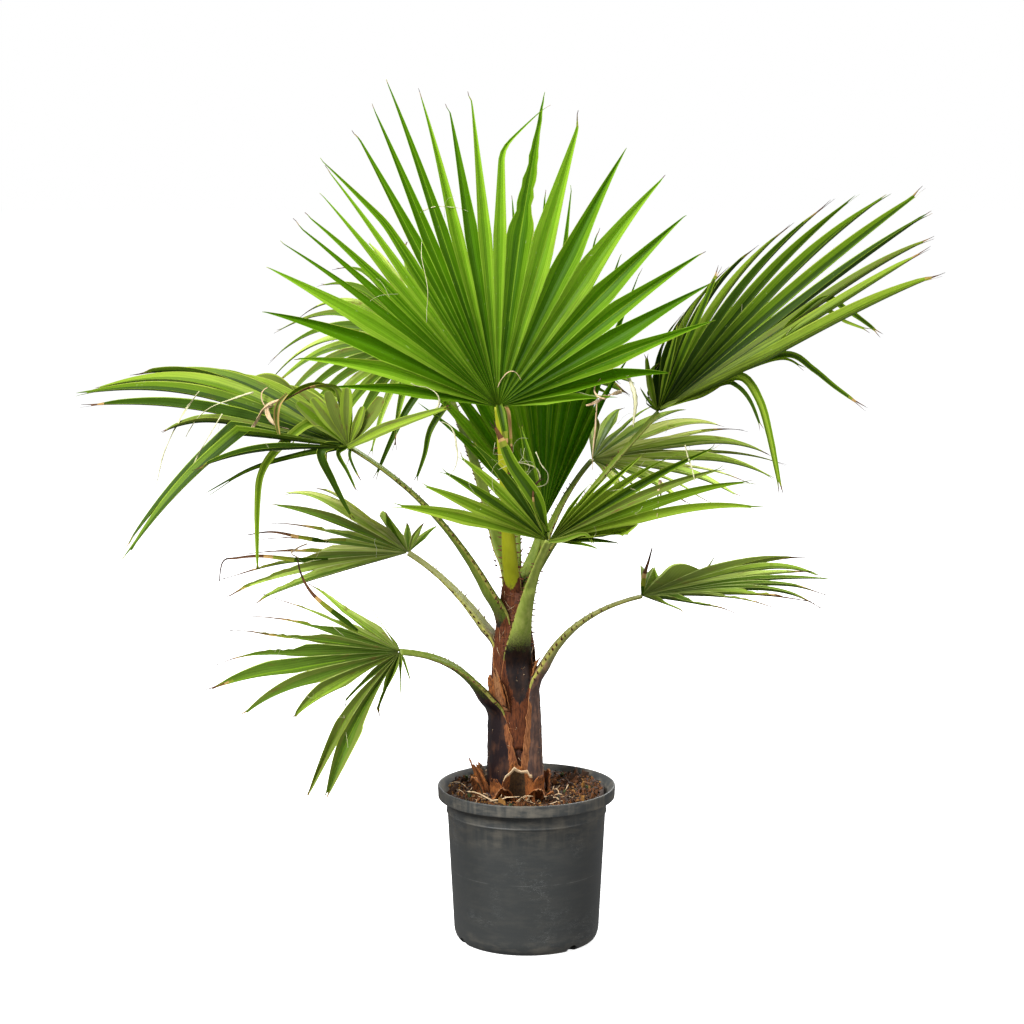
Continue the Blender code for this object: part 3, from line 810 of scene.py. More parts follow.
@dataclass
class Frond:
    """One leaf: where its stalk runs, how its fan lies, and how its segments reach and sag.

    spread is (segment, angle in degrees) pairs that say where the segments meet. reach and
    sag are (angle in degrees, value) pairs across the fan. The places and sizes are those of
    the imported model.
    """

    name: str
    segments: int
    foot: tuple
    elbow: tuple
    hub: tuple
    axis: tuple
    face: tuple
    spread: Pairs
    reach: Pairs
    sag: Pairs
    base_width: float = 0.016
    split: float = 0.5
    fold: float = 0.10
    odds: tuple[Odd, ...] = ()
    gaps: Pairs = ()
    seed: int = 1
    palette: Palette = Palette.GROWN
    finish: StalkFinish = StalkFinish("stalk")
    dry: float = 0.05
    fork: float = 0.94
    worn: float = 0.10
    sheath: float = 0.12
    clasp: float = 70.0
    turn_height: float = 0.45
    bare_height: float = 0.0
    bare_rise: float = 0.02
    shut: float = 20.0
    stray: float = 0.10
    gather: float = 0.0
    threads: float = 0.30
    taper: float = 0.60

    path_steps: int = 48
    sag_start: float = 0.20
    bend_span: float = 0.10
    length_jitter: float = 0.035
    angle_jitter: float = 0.12

    def fan_frame(self) -> tuple[Array, Array, Array]:
        """The fan's axis, its side and the way its upper face looks."""
        axis = unit(np.array(self.axis, float))
        side = unit(np.cross(axis, np.array(self.face, float)))
        return axis, side, np.cross(side, axis)

    def rib(self, angle: float, length: float, odd: Odd = REGULAR) -> Array:
        """Points along a rib, from the hub to its tip, in equal steps.

        Args:
            angle: the angle in degrees at which it leaves the fan's axis.
            length: its length.
            odd: how it bends.

        Returns:
            The points.
        """
        axis, side, face = self.fan_frame()
        turn = math.radians(angle)
        start = unit(axis * math.cos(turn) + side * math.sin(turn) + face * self.fold * abs(math.sin(turn)))
        sag = between(self.sag, angle)
        point = np.array(self.hub, float)
        path = [point]
        for step in range(self.path_steps):
            share = (step + 0.5) / self.path_steps
            eased = smooth_step((share - self.sag_start) / (1.0 - self.sag_start))
            way = start + (axis - start) * self.gather * eased - UP * sag * eased
            bent = smooth_step((share - odd.share) / self.bend_span + 0.5)
            way = way + bent * (side * odd.side + face * odd.out - UP * odd.down)
            point = point + unit(way) * (length / self.path_steps)
            path.append(point)
        return np.array(path)

    def stalk(self, share: float) -> tuple[Array, Array]:
        """The stalk's centre and direction at a share of its length."""
        foot, elbow, hub = (np.array(place, float) for place in (self.foot, self.elbow, self.hub))
        centre = foot * (1.0 - share) ** 2 + elbow * 2.0 * share * (1.0 - share) + hub * share ** 2
        way = unit((elbow - foot) * (1.0 - share) + (hub - elbow) * share)
        return centre, way


def along(path: Array, share: float) -> Array:
    """The point at a share of a path of equal steps."""
    place = min(max(share, 0.0), 1.0) * (len(path) - 1)
    index = min(int(place), len(path) - 2)
    return path[index] * (1.0 - place + index) + path[index + 1] * (place - index)

BRIGHT_STALK = StalkFinish("stalk_bright", (0.125, 0.195, 0.012), (0.400, 0.440, 0.110),
                           (0.011, 0.007, 0.007), (0.036, 0.016, 0.009), paleness=0.46)
PALE_STALK = StalkFinish("stalk_pale", (0.200, 0.225, 0.040), (0.440, 0.430, 0.170), (0.045, 0.026, 0.024),
                         (0.160, 0.078, 0.048), paleness=0.46)
GREY_STALK = StalkFinish("stalk_grey", (0.200, 0.225, 0.040), (0.440, 0.430, 0.170), (0.085, 0.052, 0.044),
                         (0.300, 0.155, 0.098), paleness=0.46, dustiness=0.7, rust_dark=(0.090, 0.026, 0.010),
                         rust_light=(0.460, 0.190, 0.070))
RUSTY_STALK = StalkFinish("stalk_rusty", rust_dark=(0.060, 0.017, 0.007), rust_light=(0.380, 0.135, 0.045))
YELLOW_STALK = StalkFinish("stalk_yellow", (0.260, 0.290, 0.006), (0.420, 0.420, 0.020), paleness=0.40)

SIGHT_FROM = (-0.0213, -3.76, 1.20)
SLIDE_REACH = 0.09
SLIDE_STEP = 3

FRONDS = (
    Frond(
        name="upright", segments=27, seed=11, palette=Palette.FRESH, finish=YELLOW_STALK,
        foot=(-0.021, 0.002, 0.519), elbow=(-0.030, -0.030, 0.656), hub=(-0.041, -0.050, 0.792),
        axis=(-0.02, 0.06, 1.0), face=(0.0, -1.0, 0.06), base_width=0.015, fold=0.04, split=0.54,
        spread=((0, -82), (4, -51), (9, -32), (14, -10), (17, 4), (22, 48), (27, 88)),
        reach=((-82, 0.22), (-67, 0.325), (-59, 0.385), (-53, 0.375), (-38, 0.405), (-30, 0.435), (-21, 0.47),
               (-17, 0.505), (-12, 0.46), (-7, 0.43), (0, 0.45), (10, 0.45), (25, 0.42), (43, 0.395),
               (54, 0.355), (63, 0.35), (72, 0.30), (80, 0.205), (88, 0.14)),
        sag=((-82, 0.16), (-50, 0.10), (0, 0.04), (60, 0.08), (88, 0.10)),
        odds=(Odd(2, 0.80, side=0.9, out=0.2), Odd(-28, 0.7, side=-0.25), Odd(9, rag=0.45)),
        dry=0.012, fork=1.0, worn=0.0, sheath=0.06, turn_height=0.52, bare_height=0.52, shut=13.0,
        stray=0.05, taper=1.05,
        threads=0.12,
    ),
    Frond(
        name="rear_upright", segments=14, seed=12, palette=Palette.FRESH,
        foot=(-0.010, 0.035, 0.520), elbow=(0.010, 0.060, 0.554), hub=(0.025, 0.095, 0.605),
        axis=(0.02, 0.14, 1.0), face=(0.0, -1.0, 0.14), base_width=0.014, fold=0.10,
        spread=((0, -48), (14, 28)),
        reach=((-48, 0.24), (-30, 0.42), (-11, 0.525), (6, 0.49), (20, 0.40), (28, 0.24)),
        sag=((-48, 0.10), (28, 0.10)),
        dry=0.02, fork=1.0, worn=0.0, sheath=0.05, turn_height=0.50, taper=1.0,
    ),
    Frond(
        name="upper_right", segments=20, seed=13,
        foot=(-0.011, 0.020, 0.501), elbow=(0.052, 0.010, 0.629), hub=(0.190, 0.010, 0.778),
        axis=(0.79, 0.00, 0.61), face=(-0.42, -0.45, 0.79), base_width=0.015, fold=0.16, split=0.42,
        spread=((0, -112), (4, -60), (16, 26), (20, 46)),
        reach=((-112, 0.06), (-98, 0.075), (-78, 0.14), (-69, 0.175), (-52, 0.275), (-33, 0.38),
               (-22, 0.425), (-16, 0.465), (-8, 0.508), (0, 0.50), (13, 0.47), (22, 0.455),
               (26, 0.41), (29, 0.36), (34, 0.32), (46, 0.20)),
        sag=((-100, 0.00), (0, 0.03), (20, 0.05), (30, 0.40), (46, 0.30)),
        odds=(Odd(-105, length=0.045, cut=0.15), Odd(-92, length=0.055, cut=0.20),
              Odd(-79, length=0.10, cut=0.30), Odd(-66, cut=0.35, taper=0.9), Odd(-56, cut=0.42, taper=0.8),
              Odd(-49, cut=0.46, taper=0.8)),
        gaps=((28, 46),),
        sheath=0.07, turn_height=0.49, dry=0.06, shut=12.0, gather=0.62, taper=0.38,
    ),
    Frond(
        name="upper_left", segments=23, seed=14,
        foot=(-0.034, 0.005, 0.471), elbow=(-0.096, -0.040, 0.638), hub=(-0.247, -0.080, 0.737),
        axis=(-0.95, -0.05, 0.24), face=(0.15, -0.30, 0.92), base_width=0.021, fold=0.24, split=0.46,
        spread=((0, -110), (4, -66), (17, 42), (20, 92), (23, 136)),
        reach=((-110, 0.13), (-98, 0.20), (-80, 0.18), (-67, 0.30), (-60, 0.30), (-46, 0.278),
               (-36, 0.29), (-20, 0.36), (-15, 0.378), (7, 0.388), (20, 0.415), (30, 0.38),
               (45, 0.27), (60, 0.17), (80, 0.15), (97, 0.158), (136, 0.15)),
        sag=((-96, 0.40), (-50, 0.36), (-30, 0.25), (0, 0.30), (20, 0.42), (45, 0.55), (60, 0.20),
             (108, 0.10)),
        odds=(Odd(-5, length=0.27), Odd(-13, 0.26, down=0.70, taper=0.34),
              Odd(-21, 0.28, down=0.66, taper=0.34)),
        gaps=((-112, -50), (-42, -26), (76, 140)),
        sheath=0.08, turn_height=0.487, bare_height=0.462, shut=14.0, gather=0.50, taper=0.46, dry=0.04,
    ),
    Frond(
        name="middle_left", segments=13, seed=15, palette=Palette.PALE, finish=PALE_STALK,
        foot=(-0.042, 0.028, 0.432), elbow=(-0.101, 0.050, 0.521), hub=(-0.174, 0.060, 0.564),
        axis=(-0.90, 0.25, 0.06), face=(0.15, -0.58, 0.80), base_width=0.017, fold=0.08,
        spread=((0, -37), (9, 43), (13, 122)),
        reach=((-37, 0.23), (-30, 0.26), (-22, 0.29), (-9, 0.285), (2, 0.24), (14, 0.26),
               (36, 0.285), (44, 0.15), (60, 0.07), (122, 0.07)),
        sag=((-40, 0.20), (0, 0.12), (112, 0.10)),
        odds=(Odd(38, width=1.0, taper=0.75, dry=0.08, cut=0.30),
              Odd(29, width=1.25, taper=0.62, dry=0.03, cut=0.38),
              Odd(20, width=1.25, taper=0.62, dry=0.03, cut=0.38),
              Odd(12, width=0.80, dry=0.30, rag=0.5, cut=0.38),
              Odd(3, width=0.75, dry=0.34, rag=0.5, cut=0.42),
              Odd(-6, width=0.70, dry=0.34, rag=0.5, cut=0.42),
              Odd(-15, width=0.80, dry=0.26, rag=0.4, cut=0.45), Odd(-24, width=0.9, dry=0.12, rag=0.3),
              Odd(-33, width=0.9, dry=0.10, rag=0.2)),
        shut=12.0, taper=0.80, dry=0.12, worn=0.20, sheath=0.09, turn_height=0.456,
    ),
    Frond(
        name="lower_left", segments=15, seed=16, palette=Palette.OLD, finish=RUSTY_STALK,
        foot=(-0.046, -0.005, 0.339), elbow=(-0.085, -0.045, 0.432), hub=(-0.180, -0.100, 0.448),
        axis=(-0.95, -0.25, 0.02), face=(0.15, -0.72, 0.64), base_width=0.023, fold=0.06, split=0.56,
        spread=((0, -112), (3, -57), (5, -43), (7, -21), (13, 36), (15, 80)),
        reach=((-112, 0.06), (-80, 0.10), (-58, 0.20), (-54, 0.255), (-46, 0.265), (-38, 0.17), (-28, 0.19),
               (-18, 0.25), (-5, 0.30), (8, 0.265), (24, 0.235), (46, 0.18), (80, 0.11)),
        sag=((-112, 0.20), (-45, 0.70), (-24, 0.20), (0, 0.10), (80, 0.10)),
        odds=(Odd(-103, length=0.055, dry=0.2, cut=0.2),
              Odd(-84, length=0.095, width=0.6, dry=0.30, rag=0.4, cut=0.2),
              Odd(-66, length=0.110, width=0.5, dry=0.30, rag=0.4, cut=0.25),
              Odd(-54, width=1.35, taper=0.50, dry=0.04),
              Odd(-47, width=1.35, taper=0.50, dry=0.07, tone=9),
              Odd(-37, length=0.12, width=0.6, cut=0.25), Odd(12, width=0.62, dry=0.24, rag=0.45, cut=0.42),
              Odd(22, width=0.60, dry=0.28, rag=0.45, cut=0.40),
              Odd(31, width=0.60, dry=0.24, rag=0.40, cut=0.35),
              Odd(3, width=0.70, dry=0.18, rag=0.35, cut=0.48), Odd(-7, width=1.2, dry=0.10),
              Odd(47, width=0.9, dry=0.12, rag=0.2, cut=0.30), Odd(69, width=0.35, dry=0.30, cut=0.10)),
        shut=14.0, taper=0.80, dry=0.07, worn=0.30, sheath=0.122, clasp=76.0, turn_height=0.385,
    ),
    Frond(
        name="lower_right", segments=13, seed=17, palette=Palette.OLD, finish=GREY_STALK,
        foot=(0.011, 0.005, 0.377), elbow=(0.045, -0.010, 0.484), hub=(0.166, -0.030, 0.516),
        axis=(0.97, 0.05, 0.14), face=(-0.13, -0.12, 0.98), base_width=0.022, fold=0.06,
        spread=((0, -84), (1, -72), (3, -27), (11, 32), (13, 68)),
        reach=((-84, 0.22), (-72, 0.20), (-64, 0.06), (-36, 0.14), (-22, 0.30), (-8, 0.265), (16, 0.275),
               (24, 0.25), (36, 0.22), (60, 0.18), (68, 0.13)),
        sag=((-84, 0.05), (0, 0.15), (60, 0.40), (68, 0.35)),
        odds=(Odd(-78, length=0.05, width=0.4), Odd(-36, taper=0.25, length=0.14, tone=9),
              Odd(59, length=0.11, width=0.4, dry=0.40, cut=0.15),
              Odd(41, length=0.17, width=0.5, dry=0.36, rag=0.4, cut=0.25),
              Odd(28, width=0.6, dry=0.28, rag=0.4, cut=0.40), Odd(21, width=0.7, dry=0.24, rag=0.4)),
        shut=12.0, taper=0.60, dry=0.13, worn=0.30, sheath=0.155, clasp=72.0, turn_height=0.415,
    ),
    Frond(
        name="front", segments=20, seed=18, finish=BRIGHT_STALK,
        foot=(-0.014, -0.015, 0.419), elbow=(-0.004, -0.070, 0.532), hub=(0.030, -0.130, 0.612),
        axis=(0.05, 0.30, 0.95), face=(-0.05, -0.95, 0.30), base_width=0.022, fold=0.10,
        spread=((0, -82), (7, -12), (9, 28), (20, 96)),
        reach=((-82, 0.22), (-76, 0.225), (-65, 0.19), (-46, 0.18), (-27, 0.19), (-14, 0.17), (10, 0.08),
               (30, 0.10), (46, 0.20), (55, 0.27), (63, 0.28), (70, 0.305), (76, 0.29), (82, 0.12),
               (96, 0.06)),
        sag=((-82, 0.15), (0, 0.00), (96, 0.15)),
        # The light tone on the right-hand segments at 37, 50, 74 and 80 degrees is painted light on that side
        # of the fan.
        odds=(Odd(37, tone=1), Odd(50, tone=1), Odd(62, tone=9), Odd(69, tone=0), Odd(74, tone=1),
              Odd(80, tone=1, length=0.11)),
        gaps=((-12, 30),), shut=10.0, taper=0.62,
        sheath=0.13, turn_height=0.455, bare_height=0.352, bare_rise=0.075, dry=0.025, worn=0.08,
    ),
    Frond(
        name="middle_right", segments=15, seed=19, palette=Palette.PALE,
        foot=(-0.007, 0.040, 0.467), elbow=(0.027, 0.080, 0.622), hub=(0.098, 0.130, 0.693),
        axis=(0.90, 0.26, 0.12), face=(-0.10, -0.30, 0.94), base_width=0.015,
        spread=((0, -75), (15, 95)),
        reach=((-75, 0.17), (-45, 0.24), (0, 0.30), (50, 0.24), (95, 0.14)),
        sag=((-75, 0.20), (0, 0.20), (95, 0.40)),
        odds=(Odd(-47, width=0.8, cut=0.28), Odd(-13, width=0.8, cut=0.30, dry=0.18),
              Odd(10, width=0.75, cut=0.28), Odd(33, width=0.7, cut=0.25, dry=0.16, rag=0.2),
              Odd(55, width=0.7, cut=0.25), Odd(78, width=0.6, cut=0.25)),
        shut=20.0, taper=0.75, sheath=0.09, dry=0.07,
    ),
    Frond(
        name="rear_left", segments=20, seed=20, palette=Palette.OLD,
        foot=(-0.027, 0.035, 0.520), elbow=(-0.069, 0.100, 0.711), hub=(-0.153, 0.220, 0.857),
        axis=(-0.84, 0.25, 0.15), face=(0.10, -0.70, 0.70), base_width=0.014,
        spread=((0, -95), (20, 95)),
        reach=((-95, 0.18), (-60, 0.26), (0, 0.28), (60, 0.27), (95, 0.20)),
        sag=((-95, 1.20), (0, 0.90), (60, 0.40), (95, 0.20)),
        split=0.42, shut=14.0, taper=0.80, dry=0.10, sheath=0.06, turn_height=0.50,
    ),
    Frond(
        name="rear", segments=20, seed=21,
        foot=(-0.020, 0.040, 0.481), elbow=(-0.017, 0.120, 0.674), hub=(-0.020, 0.260, 0.789),
        axis=(0.00, 0.97, 0.20), face=(0.0, -0.20, 0.97), base_width=0.015,
        spread=((0, -90), (20, 90)),
        reach=((-90, 0.15), (-60, 0.22), (0, 0.33), (60, 0.22), (90, 0.15)),
        sag=((-90, 0.50), (0, 0.60), (90, 0.50)),
        shut=12.0, taper=0.42, sheath=0.08,
    ),
)


# A segment's tone paired with its valley's, which is never lighter: the deeper valley is painted shade in the
# fold.
TONES_AND_SHADED_VALLEYS = (
    (Shade.MAIN.value, Shade.DEEP.value),
    (Shade.LIGHT.value, Shade.MAIN.value),
    (Shade.DEEP.value, Shade.DEEP.value),
)
DRY_SHADES = ((1.38, Shade.YELLOW), (1.10, Shade.STRAW), (0.96, Shade.BROWN), (0.50, Shade.DARK))
# On the fans the valley columns take a deeper colour, painted shade in the fold, and the margin columns a
# lighter one, painted light on the ridge, besides the pale edges.
MIDDLE = 3
VALLEY = (2, 3, 4)
MARGINS = (0, 6)


def dry_shade(share: float, dry: float) -> Shade | None:
    """The colour at a share of a leaf's length if it has dried there.

    Args:
        share: the share of its length.
        dry: the share of its length that has dried.

    Returns:
        The colour, darker towards the tip, or None where the leaf is green.
    """
    left = (1.0 - share) / max(dry, 1e-6)
    passed = [shade for limit, shade in DRY_SHADES if left <= limit]
    return passed[-1] if passed else None


def skin_folds(surface: Surface, grid: list[list[int]], shares: Sequence[float], fork: float,
               shade: Callable[[float, int], Shade | int]) -> None:
    """Add the faces between a leaf's rows of points, parted along its rib past its fork.

    Args:
        surface: what they are added to.
        grid: the rows from the hub to the tip.
        shares: the share of the leaf's length at which each row lies.
        fork: the share of its length at which it parts.
        shade: the slot of a face, from its share of the length and its column.
    """
    for share, low, high in zip(shares, grid, grid[1:]):
        for column in range(len(low) - 1):
            if column != MIDDLE or share <= fork:
                corners = (low[column], low[column + 1], high[column + 1], high[column])
                surface.face(corners, shade(share, column))


@dataclass
class Blade:
    """The pleated fan of a frond."""

    frond: Frond
    hub_radius: float = 0.003
    tip_width: float = 0.0005
    web_rows: int = 10
    free_rows: int = 20
    pleat: Pairs = ((0.0, 1.20), (0.25, 1.00), (0.55, 0.78), (0.80, 0.70), (1.0, 0.70))
    bulge: float = 0.07
    shell: float = 0.0002
    split_jitter: float = 0.05
    fork_gap: float = 0.0035
    margin_from: float = 0.50
    driest: float = 0.13
    shrivel: float = 0.62
    most_dried: float = 0.80
    least_dry: float = 0.008
    wander: float = 0.022
    wander_dry: float = 0.10
    twist_spread: float = 120.0
    bend_spread: float = 0.12
    droop_spread: float = 0.35
    tone_odds: tuple[float, ...] = (0.46, 0.30, 0.24)
    ragged_odds: float = 0.2
    raggedness: float = 0.12
    bordered_odds: float = 0.45
    ribbed_odds: float = 0.5
    rib_from: float = 0.25
    probe: float = 0.02

    def __post_init__(self) -> None:
        """Start the fan's own random draws."""
        self.chance = np.random.default_rng(self.frond.seed + 100)

    def build(self) -> bpy.types.Object:
        """Build the fan.

        Returns:
            The object.
        """
        frond = self.frond
        bounds = [between(frond.spread, index) for index in range(frond.segments + 1)]
        edges = np.array([frond.rib(angle, between(frond.reach, angle)) for angle in bounds])
        ridges, normals = self.raise_ridges(edges)
        splits = frond.split + self.chance.uniform(-self.split_jitter, self.split_jitter, len(bounds))
        surface = Surface()
        for index in range(frond.segments):
            low, high = bounds[index], bounds[index + 1]
            middle, pitch = (low + high) / 2.0, high - low
            if any(gap[0] < middle < gap[1] for gap in frond.gaps):
                continue
            odd = next((odd for odd in frond.odds if low <= odd.angle < high), REGULAR)
            angle = middle + self.chance.uniform(-frond.angle_jitter, frond.angle_jitter) * pitch
            length = between(frond.reach, middle)
            length *= 1.0 + self.chance.uniform(-frond.length_jitter, frond.length_jitter)
            length = odd.length or length
            pair = slice(index, index + 2)
            path = frond.rib(angle, length, odd)
            segment = Segment(self, path, ridges[pair], normals[pair], splits[pair], length, odd)
            segment.add(surface)
        item = surface.build(f"fan_{frond.name}", frond.palette.materials(), shell=self.shell)
        hand_over(item, "blade", f"blade_{frond.name}")
        return item

    def raise_ridges(self, edges: Array) -> tuple[Array, Array]:
        """Raise the lines where segments meet off the fan, as its pleats do.

        Args:
            edges: the ribs along which segments meet, in the fan's mean face.

        Returns:
            The raised lines, and the fan's normal along each.
        """
        steps = edges.shape[1]
        slopes = np.array([between(self.pleat, step / (steps - 1)) for step in range(steps)])
        widths = np.linalg.norm(np.diff(edges, axis=0), axis=2) / 2.0
        padded = np.concatenate((widths[:1], widths, widths[-1:]))
        heights = slopes * (padded[:-1] + padded[1:]) / 4.0
        across = np.gradient(edges, axis=0)
        ways = np.gradient(edges, axis=1)
        normals = np.cross(across, ways)
        normals /= np.maximum(np.linalg.norm(normals, axis=2, keepdims=True), 1e-12)
        return edges + normals * heights[..., None], normals

    def rows(self) -> list[float]:
        """The shares of the length at which a segment has its rows."""
        split = self.frond.split
        start = self.hub_radius / max(value for _, value in self.frond.reach)
        web = [start + (split - start) * row / self.web_rows for row in range(self.web_rows)]
        free = [split + (1.0 - split) * (1.0 - (1.0 - row / self.free_rows) ** 1.15)
                for row in range(self.free_rows + 1)]
        return web + free


class Segment:
    """One pleated segment of a fan, fused to its neighbours near the hub and free beyond.

    How it wears, dries, twists, bends and droops is drawn once, as it is made.
    """

    columns: tuple[float, ...] = (-1.0, -0.93, -0.50, -0.06, 0.06, 0.50, 0.93, 1.0)

    def __init__(self, blade: Blade, path: Array, ridges: Array, normals: Array, splits: Array, length: float,
                 odd: Odd) -> None:
        """Draw what the segment has of its own.

        Args:
            blade: its fan.
            path: its own rib.
            ridges: the raised lines at its two sides, which it is fused along up to the splits.
            normals: the fan's normal along the two lines.
            splits: the share of the length at which each side leaves its neighbour.
            length: its length.
            odd: what sets it apart from its neighbours.
        """
        chance, frond = blade.chance, blade.frond
        self.blade, self.path, self.length = blade, path, length
        self.ridges, self.normals = ridges, normals
        self.splits = np.array((odd.cut, odd.cut)) if odd.cut > 0.0 else splits
        self.wide, self.taper = odd.width, odd.taper or frond.taper
        self.twist = math.radians(chance.normal(0.0, blade.twist_spread * frond.stray))
        self.bend = chance.normal(0.0, blade.bend_spread * frond.stray)
        self.droop = abs(chance.normal(0.0, blade.droop_spread * frond.stray))
        self.shut = math.radians(frond.shut * chance.uniform(0.6, 1.3))
        # Each segment takes a random tone, and its valley a deeper one that is painted shade in the fold.
        self.tone, self.valley = TONES_AND_SHADED_VALLEYS[int(chance.choice(len(TONES_AND_SHADED_VALLEYS), p=blade.tone_odds))]
        if chance.uniform() < frond.worn:
            self.tone = Shade.WORN.value
        if odd.tone >= 0:
            self.tone = self.valley = odd.tone
        dry = min(abs(chance.normal(0.0, frond.dry)) + blade.least_dry, blade.driest)
        self.dry = min(odd.dry if odd.dry >= 0.0 else dry, blade.most_dried * (1.0 - frond.split))
        self.rag = odd.rag
        if odd.rag < 0.0:
            rags, odds = (0.0, blade.raggedness), (1.0 - blade.ragged_odds, blade.ragged_odds)
            self.rag = chance.choice(rags, p=odds) * frond.worn
        self.lot = chance.uniform()
        self.bordered = chance.uniform(size=2) < blade.bordered_odds
        self.ribbed = chance.uniform() < blade.ribbed_odds
        self.borders = self.dry * chance.uniform(0.70, 1.30, len(self.columns) - 1)
        self.astray = chance.normal(0.0, blade.wander) * length * min(self.dry / blade.wander_dry, 1.0)
        self.shift = self.keel(frond.split) - along(path, frond.split)
        self.offsets = [along(ridge, cut) - self.centre(cut) for ridge, cut in zip(ridges, self.splits)]
        self.across = unit(self.offsets[1] - self.offsets[0])

    def keel(self, share: float) -> Array:
        """The rib where the segment is fused, sunk under the middle between its two raised lines."""
        arms = along(self.ridges[1], share) - along(self.ridges[0], share)
        depth = float(np.linalg.norm(arms)) / 2.0 * between(self.blade.pleat, share)
        middle = (along(self.ridges[0], share) + along(self.ridges[1], share)) / 2.0
        return middle - unit(along(self.normals[0], share) + along(self.normals[1], share)) * depth

    def centre(self, share: float) -> Array:
        """The segment's rib at a share of its length."""
        split = self.blade.frond.split
        if share <= split:
            return self.keel(share)
        free = past(share, split)
        return along(self.path, share) + self.shift * (1.0 - free) - UP * self.droop * self.length * free ** 3

    def arm(self, side: int, share: float, middle: Array, way: Array) -> Array:
        """From the rib to one of the margins.

        Args:
            side: 0 for the first margin and 1 for the other.
            share: the share of the segment's length.
            middle: the point on the rib.
            way: the rib's direction there.

        Returns:
            The offset.
        """
        cut, offset = self.splits[side], self.offsets[side]
        if share <= cut:
            return along(self.ridges[side], share) - middle
        gone = (share - cut) / (1.0 - cut)
        slim = (1.0 - gone ** (1.0 / self.taper)) * (1.0 + (self.wide - 1.0) * smooth_step(4.0 * gone))
        slim *= 1.0 - self.blade.shrivel * shrivelled(share, self.dry)
        slim *= 1.0 - self.rag * self.blade.chance.uniform(0.0, 1.0) * smooth_step(6.0 * gone)
        arm = offset * slim + unit(offset) * self.blade.tip_width * gone
        turn = self.twist * gone - (-1.0, 1.0)[side] * self.shut * gone
        return arm * math.cos(turn) + np.cross(way, arm) * math.sin(turn)

    def row(self, surface: Surface, share: float) -> list[int]:
        """Add the points from margin to margin.

        Args:
            surface: what they are added to.
            share: the share of the segment's length at which they lie.

        Returns:
            Their indices.
        """
        blade = self.blade
        way = unit(self.centre(min(share + blade.probe, 1.0)) - self.centre(max(share - blade.probe, 0.0)))
        free = past(share, blade.frond.split)
        aside = self.bend * self.length * free ** 2 + self.astray * shrivelled(share, self.dry)
        middle = self.centre(share) + self.across * aside
        arms = [self.arm(side, share, middle, way) for side in (0, 1)]
        width = float(np.linalg.norm(arms[1] - arms[0])) / 2.0
        normal = unit(np.cross(unit(arms[1] - arms[0]), way))
        parted = blade.fork_gap * past(share, blade.frond.fork)
        places = []
        for column in self.columns:
            lift = width * blade.bulge * math.sin(math.pi * abs(column))
            place = middle + arms[int(column > 0.0)] * abs(column) - normal * lift
            place = place + self.across * math.copysign(parted, column)
            places.append(surface.point(place, across=column * width, share=share, lot=self.lot))
        return places

    def shade(self, share: float, column: int) -> int:
        """The slot of a face, from its share of the length and its column."""
        dried = dry_shade(share, self.borders[column])
        if dried:
            return dried.value
        if column == MIDDLE and self.ribbed and share > self.blade.rib_from:
            return Shade.RIB.value
        # A margin without a pale edge takes the light green: painted light on the ridge.
        if column in MARGINS:
            bright = share > self.blade.margin_from and self.bordered[MARGINS.index(column)]
            return Shade.MARGIN.value if bright else Shade.LIGHT.value
        # The columns by the rib take the valley colour: painted shade in the fold.
        return self.valley if column in VALLEY else self.tone

    def add(self, surface: Surface) -> None:
        """Add the segment.

        Args:
            surface: what it is added to.
        """
        shares = self.blade.rows()
        grid = [self.row(surface, share) for share in shares]
        skin_folds(surface, grid, shares, self.blade.frond.fork, self.shade)


